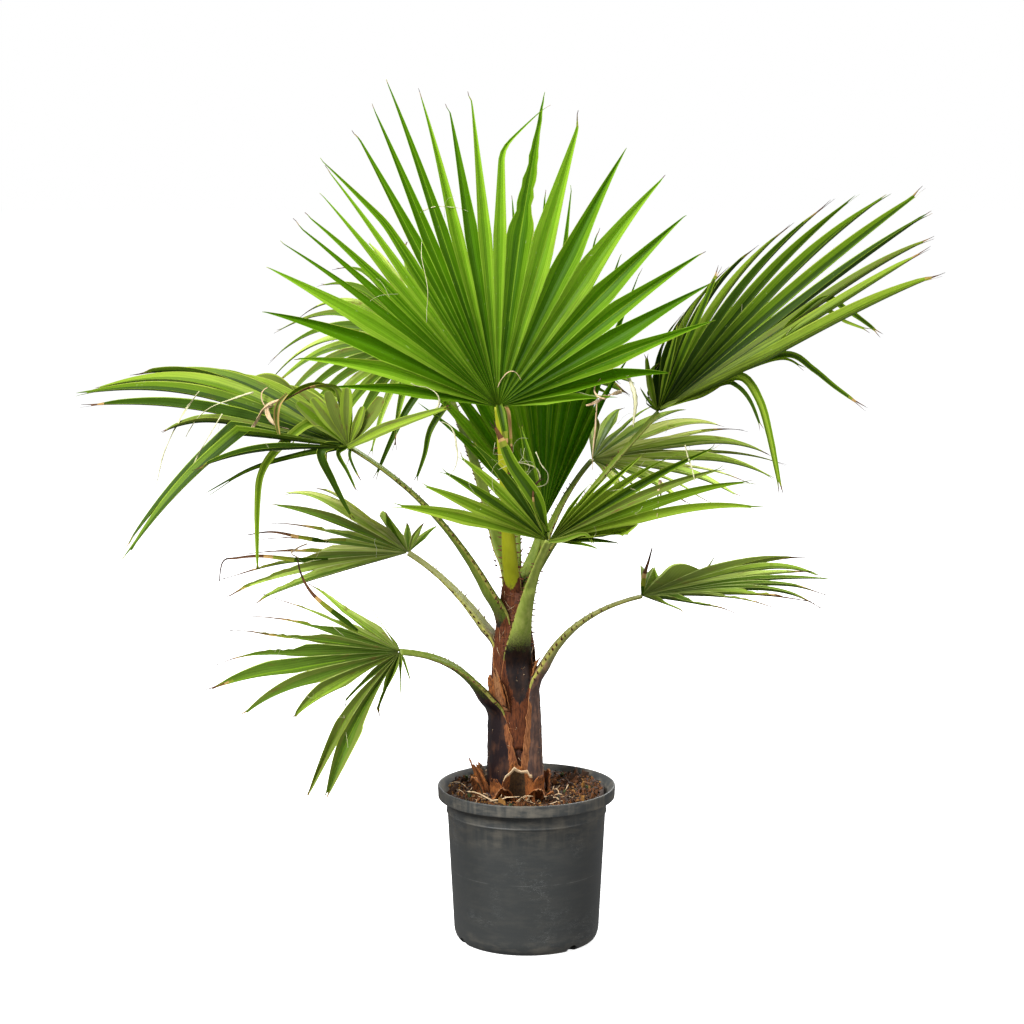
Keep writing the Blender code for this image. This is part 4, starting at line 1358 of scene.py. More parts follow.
@dataclass(frozen=True)
class Strip:
    """A folded segment that hangs loose from its fan, along a curve through a few places."""

    places: tuple
    width: float = 0.010
    tone: int = 0
    valley: int = 2
    dry: float = 0.05
    facing: tuple = (0.15, -1.0, 0.25)
    fold: float = 0.55
    roll: float = 0.0
    taper: float = 0.55
    widest: float = 0.15
    start: float = 0.35
    fork: float = 0.93
    seed: int = 1
    rows: int = 44
    steps_between: int = 24
    columns: tuple[float, ...] = (-1.0, -0.90, -0.45, -0.05, 0.05, 0.45, 0.90, 1.0)
    tip_width: float = 0.0004
    fork_gap: float = 0.003
    shrivel: float = 0.45

    def path(self) -> Array:
        """Points in equal steps along a smooth curve through the places."""
        ends = [np.array(place, float) for place in self.places]
        ends = [2.0 * ends[0] - ends[1], *ends, 2.0 * ends[-1] - ends[-2]]
        dense = []
        for before, start, stop, after in zip(ends, ends[1:], ends[2:], ends[3:]):
            for share in np.linspace(0.0, 1.0, self.steps_between, endpoint=False):
                bend = (2.0 * before - 5.0 * start + 4.0 * stop - after) * share ** 2
                ease = (3.0 * (start - stop) + after - before) * share ** 3
                dense.append(start + 0.5 * ((stop - before) * share + bend + ease))
        dense = np.array(dense + [ends[-2]])
        gone = np.concatenate(([0.0], np.cumsum(np.linalg.norm(np.diff(dense, axis=0), axis=1))))
        equal = np.linspace(0.0, gone[-1], self.rows + 1)
        return np.stack([np.interp(equal, gone, dense[:, axis]) for axis in range(3)], axis=1)

    def add(self, surface: Surface, leaves: BVHTree) -> None:
        """Add the strip.

        Args:
            surface: what it is added to.
            leaves: the blades it is seated on.
        """
        chance = np.random.default_rng(self.seed + 300)
        path = seated(self.path(), leaves)
        up = unit(np.array(self.facing, float))
        lot = chance.uniform()
        grid = []
        for index, place in enumerate(path):
            share = index / self.rows
            way = course(path, index)
            up = unit(up - way * float(up @ way))
            side = np.cross(way, up)
            turn = math.radians(self.roll) * share
            arm = side * math.cos(turn) + up * math.sin(turn)
            lift = np.cross(arm, way)
            half = self.width / 2.0 * (self.start + (1.0 - self.start) * smooth_step(share / self.widest))
            half = half * (1.0 - share) ** self.taper + self.tip_width
            half *= 1.0 + 0.05 * wobble(place, 120.0, float(self.seed))
            half *= 1.0 - self.shrivel * shrivelled(share, self.dry)
            parted = self.fork_gap * past(share, self.fork)
            row = []
            for column in self.columns:
                offset = arm * (half * column * math.cos(self.fold) + math.copysign(parted, column))
                offset = offset + lift * half * abs(column) * math.sin(self.fold)
                own = 0.45 + 0.55 * share
                row.append(surface.point(place + offset, across=column * half, share=own, lot=lot))
            grid.append(row)
        skin_folds(surface, grid, [index / self.rows for index in range(self.rows)], self.fork, self.shade)

    def shade(self, share: float, column: int) -> int:
        """The slot of a face, from its share of the length and its column."""
        dried = dry_shade(share, self.dry)
        if dried:
            return dried.value
        # As on the fans, a lighter margin is painted light on the ridge, and a deeper valley colour, where
        # one is given, painted shade in the fold.
        if column in MARGINS:
            return Shade.MARGIN.value if self.seed % 2 else Shade.LIGHT.value
        return self.valley if column in VALLEY else self.tone


LOBE = dict(dry=0.0, fold=0.30, start=0.06, fork=1.0)

STRIPS = (
    Strip(((-0.262, -0.095, 0.752), (-0.298, -0.115, 0.778), (-0.343, -0.130, 0.746),
           (-0.369, -0.130, 0.710), (-0.376, -0.130, 0.663), (-0.378, -0.130, 0.571)), width=0.0165, tone=1,
          valley=0, dry=0.02, taper=0.40, facing=(0.5, -0.8, 0.4), roll=-30.0, fork=0.985, seed=1),
    Strip(((-0.245, -0.092, 0.745), (-0.198, -0.115, 0.770), (-0.157, -0.115, 0.786),
           (-0.098, -0.115, 0.806)), width=0.026, tone=9, valley=1, dry=0.05, taper=0.55, widest=0.40,
          facing=(-0.2, -1.0, 0.5), seed=2),
    Strip(((-0.262, -0.085, 0.744), (-0.290, -0.100, 0.734), (-0.273, -0.100, 0.691),
           (-0.245, -0.100, 0.637)), width=0.0165, tone=2, valley=2, dry=0.05, facing=(-0.3, -1.0, 0.1),
          seed=3),
    Strip(((-0.252, -0.085, 0.740), (-0.266, -0.100, 0.732), (-0.253, -0.100, 0.706),
           (-0.239, -0.100, 0.676)), width=0.009, tone=0, valley=2, dry=0.10, seed=4),
    Strip(((-0.247, -0.085, 0.735), (-0.247, -0.100, 0.724), (-0.240, -0.100, 0.706),
           (-0.230, -0.100, 0.688)), width=0.005, tone=2, valley=2, dry=0.20, seed=5),
    Strip(((-0.255, -0.085, 0.738), (-0.319, -0.090, 0.728), (-0.390, -0.090, 0.707),
           (-0.453, -0.090, 0.671)), width=0.012, tone=2, valley=0, dry=0.03, facing=(0.0, -0.8, 0.6),
          fork=0.80, seed=6),
    Strip(((-0.250, -0.085, 0.745), (-0.257, -0.100, 0.800), (-0.268, -0.110, 0.829),
           (-0.303, -0.115, 0.828), (-0.345, -0.115, 0.805)), width=0.015, tone=9, valley=1, dry=0.30,
          facing=(0.0, -0.9, 0.5), taper=0.35, roll=60.0, seed=7),
    Strip(((-0.120, 0.150, 0.835), (-0.165, 0.130, 0.787), (-0.195, 0.120, 0.736), (-0.227, 0.120, 0.663)),
          width=0.015, tone=2, valley=2, dry=0.06, seed=8),
    Strip(((-0.110, 0.120, 0.790), (-0.141, 0.100, 0.744), (-0.151, 0.100, 0.704), (-0.165, 0.100, 0.663)),
          width=0.013, tone=0, valley=2, dry=0.04, seed=9),
    Strip(((0.240, 0.004, 0.806), (0.313, 0.000, 0.843), (0.373, -0.004, 0.861), (0.409, -0.004, 0.840),
           (0.442, -0.004, 0.814), (0.487, -0.004, 0.783)), width=0.017, tone=0, valley=2, dry=0.09,
          taper=0.45, facing=(-0.1, -0.8, 0.6), widest=0.45, seed=10),
    Strip(((0.240, 0.000, 0.800), (0.313, -0.006, 0.834), (0.369, -0.010, 0.851), (0.402, -0.010, 0.836)),
          width=0.010, tone=1, valley=1, dry=0.04, taper=0.45, facing=(-0.1, -0.8, 0.6), widest=0.4, seed=11),
    Strip(((0.230, 0.000, 0.792), (0.279, -0.010, 0.817), (0.312, -0.014, 0.826), (0.336, -0.014, 0.793),
           (0.351, -0.014, 0.744), (0.370, -0.014, 0.657)), width=0.018, tone=0, valley=1, dry=0.05,
          taper=0.40, facing=(-0.4, -0.9, 0.3), widest=0.40, seed=12),
    Strip(((0.230, -0.002, 0.790), (0.285, -0.012, 0.815), (0.305, -0.018, 0.812), (0.324, -0.018, 0.790),
           (0.341, -0.018, 0.749)), width=0.010, tone=2, valley=2, dry=0.06, taper=0.45,
          facing=(-0.4, -0.9, 0.3), seed=13),
    Strip(((0.360, 0.000, 0.890), (0.422, -0.004, 0.941), (0.455, -0.004, 0.927), (0.485, -0.004, 0.907),
           (0.507, -0.004, 0.889)), width=0.014, tone=0, valley=2, dry=0.07, taper=0.45, seed=14),
    Strip(((0.360, 0.000, 0.880), (0.419, -0.008, 0.924), (0.455, -0.008, 0.909), (0.490, -0.008, 0.896)),
          width=0.009, tone=1, valley=1, dry=0.05, taper=0.45, seed=15),
    Strip(((0.192, -0.002, 0.776), (0.225, -0.010, 0.787), (0.255, -0.010, 0.796), (0.290, -0.008, 0.817)),
          width=0.014, tone=9, valley=1, dry=0.16, facing=(0.0, -0.6, 0.8), seed=16),
    Strip(((0.030, -0.134, 0.612), (0.050, -0.142, 0.616), (0.080, -0.142, 0.624), (0.093, -0.142, 0.608)),
          width=0.010, tone=9, valley=0, dry=0.05, widest=0.3, seed=17),
    Strip(((0.026, -0.135, 0.625), (0.012, -0.148, 0.660), (0.010, -0.150, 0.690), (0.022, -0.150, 0.706)),
          width=0.009, tone=9, valley=1, dry=0.40, taper=0.30, roll=220.0, seed=19),
    Strip(((-0.254, -0.091, 0.742), (-0.287, -0.103, 0.773), (-0.322, -0.113, 0.806)),
          width=0.024, tone=9, valley=0, facing=(0.1, -1.0, 0.3), taper=0.22, widest=0.70, seed=21, **LOBE),
    Strip(((-0.253, -0.091, 0.742), (-0.277, -0.105, 0.777), (-0.301, -0.116, 0.812)),
          width=0.022, tone=1, valley=9, facing=(0.1, -1.0, 0.3), taper=0.22, widest=0.70, seed=22, **LOBE),
    Strip(((-0.252, -0.091, 0.742), (-0.266, -0.105, 0.782), (-0.279, -0.116, 0.822)),
          width=0.022, tone=9, valley=9, facing=(0.0, -1.0, 0.3), taper=0.20, widest=0.70, seed=23, **LOBE),
    Strip(((-0.251, -0.091, 0.742), (-0.253, -0.105, 0.784), (-0.251, -0.116, 0.827)),
          width=0.023, tone=1, valley=9, facing=(0.0, -1.0, 0.3), taper=0.20, widest=0.75, seed=24, **LOBE),
    Strip(((-0.250, -0.091, 0.741), (-0.238, -0.105, 0.772), (-0.228, -0.114, 0.800)),
          width=0.018, tone=9, valley=1, facing=(0.0, -1.0, 0.3), taper=0.25, widest=0.65, seed=25, **LOBE),
    Strip(((-0.249, -0.091, 0.741), (-0.225, -0.106, 0.775), (-0.201, -0.116, 0.813)),
          width=0.025, tone=9, valley=9, facing=(-0.1, -1.0, 0.3), taper=0.18, widest=0.80, seed=26, **LOBE),
    Strip(((0.026, -0.136, 0.625), (0.011, -0.148, 0.673), (-0.021, -0.152, 0.722), (-0.038, -0.152, 0.761),
           (-0.050, -0.150, 0.785)), width=0.032, tone=0, valley=2, dry=0.17, taper=0.55, widest=0.40,
          seed=18),
    Strip(((0.166, -0.030, 0.517), (0.168, -0.035, 0.545), (0.175, -0.035, 0.569), (0.181, -0.035, 0.592)),
          width=0.010, tone=2, valley=2, dry=0.60, taper=0.50, widest=0.30, seed=27),
    Strip(((-0.240, -0.105, 0.480), (-0.289, -0.110, 0.520), (-0.309, -0.110, 0.542), (-0.320, -0.110, 0.566),
           (-0.325, -0.110, 0.592)), width=0.010, tone=2, valley=2, dry=0.50, taper=0.50, seed=28),
    Strip(((-0.290, 0.028, 0.585), (-0.331, 0.030, 0.592), (-0.374, 0.030, 0.600), (-0.418, 0.030, 0.594)),
          width=0.008, tone=2, valley=2, dry=0.60, seed=29),
    Strip(((-0.290, 0.028, 0.560), (-0.331, 0.030, 0.558), (-0.387, 0.030, 0.564), (-0.425, 0.030, 0.561),
           (-0.445, 0.030, 0.555), (-0.452, 0.030, 0.514)), width=0.009, tone=2, valley=2, dry=0.55, seed=30),
    Strip(((-0.030, -0.066, 0.795), (-0.026, -0.064, 0.782), (-0.023, -0.062, 0.746),
           (-0.020, -0.062, 0.715)), width=0.007, tone=6, valley=6, dry=0.30, start=0.8, seed=32),
    Strip(((-0.248, -0.088, 0.750), (-0.252, -0.100, 0.805), (-0.287, -0.114, 0.831), (-0.317, -0.120, 0.827),
           (-0.342, -0.122, 0.807)), width=0.018, tone=1, valley=0, dry=0.03, taper=0.30, widest=0.60,
          facing=(-0.2, -1.0, 0.5), fork=1.0, seed=33),
    Strip(((-0.334, -0.120, 0.818), (-0.347, -0.124, 0.802), (-0.350, -0.120, 0.779),
           (-0.344, -0.120, 0.749)), width=0.013, tone=6, valley=9, dry=0.12, taper=0.50, widest=0.40,
          roll=60.0, seed=35),
    Strip(((-0.040, -0.062, 0.796), (-0.035, -0.074, 0.775), (-0.031, -0.078, 0.752),
           (-0.027, -0.078, 0.712)), width=0.014, tone=0, valley=2, dry=0.40, start=0.7, seed=34),
    Strip(((0.190, 0.000, 0.782), (0.218, -0.012, 0.850), (0.247, -0.014, 0.920), (0.275, -0.012, 0.990)),
          width=0.021, tone=0, valley=2, dry=0.07, taper=0.50, widest=0.55, facing=(-0.5, -0.8, 0.3),
          start=0.1, seed=36),
    Strip(((0.189, 0.000, 0.782), (0.197, -0.016, 0.820), (0.207, -0.018, 0.864), (0.217, -0.018, 0.908)),
          width=0.018, tone=1, valley=2, dry=0.04, taper=0.50, widest=0.55, facing=(-0.4, -0.8, 0.4),
          start=0.1, seed=37),
    Strip(((0.188, 0.000, 0.781), (0.180, -0.016, 0.806), (0.174, -0.018, 0.836), (0.170, -0.018, 0.865)),
          width=0.016, tone=9, valley=0, dry=0.08, taper=0.50, widest=0.55, facing=(-0.3, -0.8, 0.5),
          start=0.1, seed=38),
    Strip(((0.187, 0.000, 0.781), (0.176, -0.014, 0.792), (0.168, -0.016, 0.803), (0.161, -0.016, 0.816)),
          width=0.011, tone=0, valley=2, dry=0.08, taper=0.50, widest=0.50, facing=(-0.2, -0.8, 0.6),
          start=0.1, seed=39),
)


@dataclass
class TrunkShape:
    """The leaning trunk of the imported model: its profile, centre and layers."""

    soil_top: float = 0.215
    foot_centre: tuple = (-0.016, 0.010)
    tip_centre: tuple = (-0.020, 0.018)
    profile: Pairs = (
        (0.000, 0.0450), (0.018, 0.0415), (0.055, 0.0400), (0.100, 0.0390), (0.145, 0.0370), (0.185, 0.0340),
        (0.225, 0.0310), (0.265, 0.0265), (0.300, 0.0210), (0.325, 0.0150), (0.342, 0.0070),
    )
    relief: float = 0.045
    twist: float = 140.0
    lobes: int = 3

    def centre(self, height: float) -> Array:
        """The middle of the trunk at a height."""
        share = (height - self.soil_top) / self.profile[-1][0]
        foot, tip = np.array(self.foot_centre), np.array(self.tip_centre)
        middle = foot + (tip - foot) * share
        return np.array((middle[0], middle[1], height))

    def radius(self, height: float) -> float:
        """The trunk's mean radius at a height."""
        return between(self.profile, height - self.soil_top)

    def on_bark(self, height: float, azimuth: float, out: float = 0.0) -> Array:
        """A point on the trunk."""
        radius = self.radius(height) + out
        return self.centre(height) + radius * level_way(azimuth)


@dataclass
class Stalk:
    """A frond's stalk with the sheath at its base that clasps the trunk."""

    frond: Frond
    trunk: TrunkShape
    layer: float = 0.0
    sides: int = 28
    sheath_rings: int = 26
    stalk_rings: int = 46
    tip_width: float = 0.0054
    flatness: float = 0.62
    taper: float = 2.0
    sheath_thickness: float = 0.0035
    blend_low: float = -0.10
    blend_high: float = 0.16
    turn_span: float = 0.07
    bare_span: float = 0.02

    def azimuth(self) -> float:
        """The azimuth at which the stalk leaves the trunk."""
        foot = np.array(self.frond.foot, float)
        middle = self.trunk.centre(foot[2])
        hub = np.array(self.frond.hub, float)
        near = unit((foot - middle)[:2])
        far = unit((hub - middle)[:2])
        mean = near * 0.6 + far * 0.4
        return math.atan2(mean[1], mean[0])

    def stalk_section(self, share: float) -> list[Array]:
        """The stalk's outline at a share of its length: round below, channelled above.

        Args:
            share: the share of its length.

        Returns:
            The points, with the two margins at the first and the middle one.
        """
        centre, way = self.frond.stalk(max(share, 0.0))
        if share < 0.0:
            centre = centre + way * share * 0.1
        _, side, face = self.frond.fan_frame()
        foot, hub = np.array(self.frond.foot, float), np.array(self.frond.hub, float)
        outward = unit(np.array((hub[0] - foot[0], hub[1] - foot[1], 0.0)))
        clasp = np.cross(UP, outward)
        if clasp @ side < 0.0:
            clasp = -clasp
        wide = clasp * (1.0 - max(share, 0.0)) + side * max(share, 0.0)
        wide = unit(wide - way * float(wide @ way))
        thick = np.cross(way, wide)
        upper = 1.0 if float(thick @ (face * share - outward * (1.0 - share))) > 0.0 else -1.0
        left = (1.0 - max(share, 0.0)) ** self.taper
        width = self.tip_width + (self.frond.base_width - self.tip_width) * left
        depth = width * self.flatness
        points = []
        for index in range(self.sides):
            turn = math.tau * index / self.sides
            rise = math.sin(turn)
            lift = 0.85 * rise - 0.42 * rise ** 4 if rise > 0.0 else 1.05 * rise
            points.append(centre + wide * width * math.cos(turn) + thick * upper * depth * lift)
        if upper < 0.0:
            points = [points[0]] + points[:0:-1]
            half = self.sides // 2
            points = points[half:] + points[:half]
        return points

    def sheath_section(self, height: float, share: float) -> list[Array]:
        """The sheath's outline at a height: an arc round the trunk, with its inner face.

        Args:
            height: the height above the ground.
            share: 0 at the foot of the stalk and 1 at the sheath's lower end.

        Returns:
            The points, with the two margins at the first and the middle one.
        """
        radius = self.trunk.radius(height) + self.layer
        narrow = self.frond.base_width * 1.02 / radius
        reach = math.radians(self.frond.clasp)
        half = narrow + (reach - narrow) * max(share, 0.0) ** 0.75
        middle = self.azimuth()
        points = []
        for index in range(self.sides):
            turn = math.tau * index / self.sides
            depth = self.sheath_thickness * abs(math.sin(turn)) ** 0.5
            out = -depth if math.sin(turn) > 0.0 else 0.0
            near = abs(math.cos(turn)) ** 6 * smooth_step(3.0 * share)
            place = np.array((math.copysign(1.0, math.cos(turn)), self.frond.seed, height))
            ragged = 0.10 * near * (wobble(place, 70.0) + 0.6 * wobble(place, 260.0))
            out += 0.0022 * near * max(wobble(place, 45.0, 9.0), 0.0)
            angle = middle + half * math.cos(turn) * (1.0 + ragged)
            points.append(self.trunk.on_bark(height, angle, self.layer + out))
        return points

    def rings(self) -> list[tuple[float, list[Array]]]:
        """The rings from the sheath's lower end to the fan, each with its place from -1 to 1."""
        foot_height = self.frond.foot[2]
        places = [-1.0 + (index / self.sheath_rings) for index in range(self.sheath_rings)]
        places += [index / self.stalk_rings for index in range(self.stalk_rings + 1)]
        rings = []
        for place in places:
            share = smooth_step((place - self.blend_low) / (self.blend_high - self.blend_low))
            if place < 0.0:
                height = foot_height + place * self.frond.sheath
            else:
                height = self.frond.stalk(place)[0][2]
            if share <= 0.0:
                rings.append((place, self.sheath_section(height, -place)))
            elif share >= 1.0:
                rings.append((place, self.stalk_section(place)))
            else:
                low = self.sheath_section(height, max(-place, 0.0))
                high = self.match(low, self.stalk_section(place))
                rings.append((place, [a * (1.0 - share) + b * share for a, b in zip(low, high)]))
        matched = []
        for place, ring in rings:
            if matched:
                ring = self.match(matched[-1][1], ring)
            matched.append((place, ring))
        return matched

    def match(self, before: list[Array], ring: list[Array]) -> list[Array]:
        """Turn or flip a ring so that its points follow on from the ring before.

        Args:
            before: the ring before.
            ring: the ring.

        Returns:
            The same outline, started at the matching margin.
        """
        half = self.sides // 2
        flipped = [ring[half - index] for index in range(self.sides)]
        choices = (ring, ring[half:] + ring[:half], flipped, flipped[half:] + flipped[:half])
        middle = sum(before) / self.sides
        own = sum(ring) / self.sides

        def distance(choice: list[Array]) -> float:
            """How far the outline's points lie from the ring before."""
            return sum(float(np.linalg.norm((a - middle) - (b - own))) for a, b in zip(before, choice))

        return min(choices, key=distance)

    def build(self) -> bpy.types.Object:
        """Build the stalk and its sheath.

        Returns:
            The object.
        """
        surface = Surface()
        seed = float(self.frond.seed)
        rows = []
        for place, ring in self.rings():
            row = []
            for point in ring:
                age = min(max(0.5 + (self.frond.turn_height - point[2]) / self.turn_span, 0.0), 1.0)
                margin = abs(math.cos(math.tau * len(row) / self.sides))
                torn = smooth_step((margin - 0.60) / 0.30) * smooth_step(-4.0 * place)
                bare = self.frond.bare_height + self.frond.bare_rise * margin ** 1.3
                torn = max(torn, min(max(0.5 + (bare - point[2]) / self.bare_span, 0.0), 1.0))
                bumpy = wobble(point, 90.0, seed) * 0.0005 * (1.0 if place > 0.0 else 1.6)
                centre = self.trunk.centre(point[2])
                out = unit((point - centre) * np.array((1.0, 1.0, 0.0)))
                row.append(surface.point(point + out * bumpy, age=age, torn=torn))
            rows.append((place, row))
        half = self.sides // 2
        for (place, low), (_, high) in zip(rows, rows[1:]):
            for side, after in around(self.sides):
                behind = half - 1 - side if side < half else side - half
                inward = min(side, self.sides - 1 - side, behind)
                slot = 0 if inward > 0 else 1 if place < 0.0 else 2
                surface.face((low[side], low[after], high[after], high[side]), slot)
        surface.face(rows[0][1][::-1], 0)
        surface.face(rows[-1][1], 0)
        materials = [self.frond.finish.material(), TORN.material(), EDGE.material()]
        item = surface.build(f"stalk_{self.frond.name}", materials)
        hand_over(item, "petiole", f"petiole_{self.frond.name}")
        return item


TORN = FibreFinish("torn_margin", (0.12, 0.030, 0.008), (0.50, 0.20, 0.055))
EDGE = FibreFinish("stalk_edge", (0.17, 0.19, 0.020), (0.42, 0.38, 0.080), relief=0.0003)
MAT = FibreFinish("fibre_mat", (0.018, 0.006, 0.004), (0.175, 0.052, 0.019))
HUSK = FibreFinish("husk_dry", (0.030, 0.008, 0.003), (0.540, 0.175, 0.032), scale=75.0)
TAN = FibreFinish("fibre_tan", (0.110, 0.036, 0.012), (0.460, 0.210, 0.078), scale=90.0)
STUB = FibreFinish("husk_stub", (0.028, 0.020, 0.024), (0.120, 0.085, 0.085))
HUSK_DARK = FibreFinish("husk_inside", (0.020, 0.010, 0.005), (0.130, 0.070, 0.020))
STRAW = FibreFinish("straw", (0.40, 0.25, 0.12), (0.78, 0.60, 0.38), relief=0.0002)
THREAD = FibreFinish("pale_thread", (0.36, 0.36, 0.14), (0.78, 0.74, 0.50), relief=0.0001)
THORN = FibreFinish("thorn", (0.060, 0.012, 0.005), (0.20, 0.050, 0.018), relief=0.0001)
EARTH = EarthFinish("earth", (0.009, 0.004, 0.001), (0.075, 0.028, 0.008))
CHIPS = (
    EarthFinish("chip_dark", (0.014, 0.006, 0.002), (0.085, 0.032, 0.008)),
    EarthFinish("chip_red", (0.066, 0.020, 0.003), (0.235, 0.080, 0.012)),
    EarthFinish("chip_tan", (0.140, 0.056, 0.008), (0.420, 0.205, 0.036)),
    EarthFinish("chip_moss", (0.020, 0.032, 0.006), (0.080, 0.110, 0.020)),
)
PLASTIC = PlasticFinish("pot_plastic")


@dataclass
class Thorns:
    """The small hooked thorns along the margins of a stalk."""

    stalk: Stalk
    pitch: float = 0.0095
    length: float = 0.0060
    radius: float = 0.0014
    upward: float = 1.7
    first: float = 0.06
    last: float = 0.80
    root: float = 0.0008
    heights: tuple[float, ...] = (0.45, 0.85, 1.0)
    hooks: tuple[float, ...] = (0.18, 0.40)
    thinning: tuple[float, ...] = (1.0, 0.72, 0.36, 0.06)

    def add(self, surface: Surface) -> None:
        """Add the thorns.

        Args:
            surface: what they are added to.
        """
        frond = self.stalk.frond
        chance = np.random.default_rng(frond.seed + 300)
        run = np.linalg.norm(np.array(frond.hub, float) - np.array(frond.foot, float))
        count = int(run * (self.last - self.first) / self.pitch)
        half = self.stalk.sides // 2
        for index in range(count):
            for side in (0, half):
                share = self.first + (self.last - self.first) * (index + chance.uniform(0.0, 0.8)) / count
                size = self.length * chance.uniform(0.55, 1.15) * (1.15 - 0.55 * share)
                ring = self.stalk.stalk_section(share)
                centre, way = frond.stalk(share)
                base = ring[side]
                face = unit(np.array(frond.face, float))
                out = unit(unit(base - centre) + face * self.upward * max(face[2], 0.2) ** 2)
                path = [base - out * self.root] + [base + out * size * height for height in self.heights]
                path[2] = path[2] + way * size * self.hooks[0] * chance.uniform(-0.5, 1.0)
                path[3] = path[3] + way * size * self.hooks[1] * chance.uniform(-0.5, 1.0)
                radii = [self.radius * factor * size / self.length for factor in self.thinning]
                surface.tube(np.array(path), radii, sides=5)


@dataclass
class Trunk:
    """The trunk's core with its mat of fibre, under the sheaths."""

    shape: TrunkShape
    inset: float = 0.0045
    sides: int = 96
    rings: int = 110
    hairs: int = 420

    def build(self) -> None:
        """Build the core and the loose fibres."""
        shape = self.shape
        surface = Surface()
        top = shape.soil_top + shape.profile[-1][0]
        bottom = shape.soil_top - 0.006
        rows = []
        for level in range(self.rings + 1):
            height = bottom + (top - bottom) * level / self.rings
            row = []
            for side in range(self.sides):
                azimuth = math.tau * side / self.sides
                lobes = math.cos(shape.lobes * azimuth + shape.twist * (height - shape.soil_top))
                rough = 0.0016 * wobble(np.array((azimuth * 0.03, 0.0, height)), 160.0, 3.0)
                fine = 0.0007 * wobble(np.array((azimuth * 0.04, 0.0, height * 0.4)), 900.0, 7.0)
                radius = shape.radius(height)
                out = radius * shape.relief * lobes * 0.5 - min(self.inset, radius * 0.5) + rough + fine
                row.append(surface.point(shape.on_bark(height, azimuth, out)))
            rows.append(row)
        surface.loft(rows)
        item = surface.build("trunk_core", [MAT.material()])
        hand_over(item, "trunk", "trunk")
        self.build_hairs()

    def build_hairs(self) -> None:
        """Build the loose fibres that stand off the trunk."""
        chance = np.random.default_rng(501)
        surface = Surface()
        for _ in range(self.hairs):
            height = self.shape.soil_top + chance.uniform(0.02, 0.315)
            azimuth = chance.uniform(0.0, math.tau)
            length = chance.uniform(0.006, 0.020)
            start = self.shape.on_bark(height, azimuth, -0.003)
            out = level_way(azimuth)
            side = np.cross(UP, out)
            way = out * chance.uniform(0.0, 0.35) + UP * chance.uniform(-0.8, 0.8)
            way = unit(way + side * chance.normal(0.0, 0.7))
            sway = unit(chance.normal(0.0, 1.0, 3)) * length * 0.25
            shares = (0.0, 0.4, 0.75, 1.0)
            path = np.array([start + way * length * share + sway * share ** 2 for share in shares])
            surface.tube(path, [0.00035, 0.00030, 0.00022, 0.00010], sides=3, slot=int(chance.integers(0, 3)))
        materials = [MAT.material(), TORN.material(), STRAW.material()]
        hand_over(surface.build("trunk_fibres", materials), "trunk")


@dataclass
class Husk:
    """An old cut leaf base that stands on the soil round the trunk."""

    azimuth: float
    height: float
    half_angle: float
    lean: float
    thickness: float = 0.005
    seed: int = 1
    levels: int = 22
    arc: int = 16
    pointedness: float = 0.75
    bend: float = 1.5
    thinning: float = 0.5

    def add(self, surface: Surface, shape: TrunkShape) -> None:
        """Add the husk with its torn upper edge.

        Args:
            surface: what it is added to.
            shape: the trunk that it stands round.
        """
        chance = np.random.default_rng(self.seed + 700)
        outermost = 1.0 + shape.relief
        middle = math.radians(self.azimuth)
        tears = chance.uniform(0.72, 1.0, self.arc)
        grid_out, grid_in = [], []
        for level in range(self.levels):
            share = level / (self.levels - 1)
            row_out, row_in = [], []
            for index in range(self.arc):
                spread = -1.0 + 2.0 * index / (self.arc - 1)
                reach = share * tears[index]
                rise = self.height * reach
                half = math.radians(self.half_angle) * (1.0 - self.pointedness * reach ** 2)
                trunk = shape.radius(shape.soil_top + rise)
                inner = trunk * outermost + self.lean * reach ** self.bend
                thick = self.thickness * (1.0 - self.thinning * share)
                angle = middle + half * spread
                place = shape.centre(shape.soil_top + rise)
                crumple = 0.0014 * wobble(place + spread * 0.02, 140.0, float(self.seed))
                outward = level_way(angle)
                row_out.append(surface.point(place + outward * (inner + thick + crumple)))
                row_in.append(surface.point(place + outward * (inner + crumple * 0.5)))
            grid_out.append(row_out)
            grid_in.append(row_in)
        last = self.arc - 1
        for level in range(self.levels - 1):
            low, high = grid_out[level], grid_out[level + 1]
            low_in, high_in = grid_in[level], grid_in[level + 1]
            for index in range(last):
                surface.face((low[index], low[index + 1], high[index + 1], high[index]))
                surface.face((low_in[index + 1], low_in[index], high_in[index], high_in[index + 1]))
            surface.face((low_in[0], low[0], high[0], high_in[0]))
            surface.face((low[last], low_in[last], high_in[last], high[last]))
        for index in range(last):
            top, top_in, foot, foot_in = grid_out[-1], grid_in[-1], grid_out[0], grid_in[0]
            surface.face((top[index], top[index + 1], top_in[index + 1], top_in[index]))
            surface.face((foot_in[index], foot_in[index + 1], foot[index + 1], foot[index]))


HUSKS = (
    Husk(azimuth=198.0, height=0.046, half_angle=20.0, lean=0.020, seed=1),
    Husk(azimuth=236.0, height=0.034, half_angle=15.0, lean=0.014, seed=2),
    Husk(azimuth=272.0, height=0.066, half_angle=18.0, lean=0.022, thickness=0.007, seed=3),
    Husk(azimuth=312.0, height=0.036, half_angle=17.0, lean=0.012, seed=4),
    Husk(azimuth=20.0, height=0.030, half_angle=20.0, lean=0.010, seed=5),
    Husk(azimuth=110.0, height=0.040, half_angle=24.0, lean=0.012, seed=6),
)


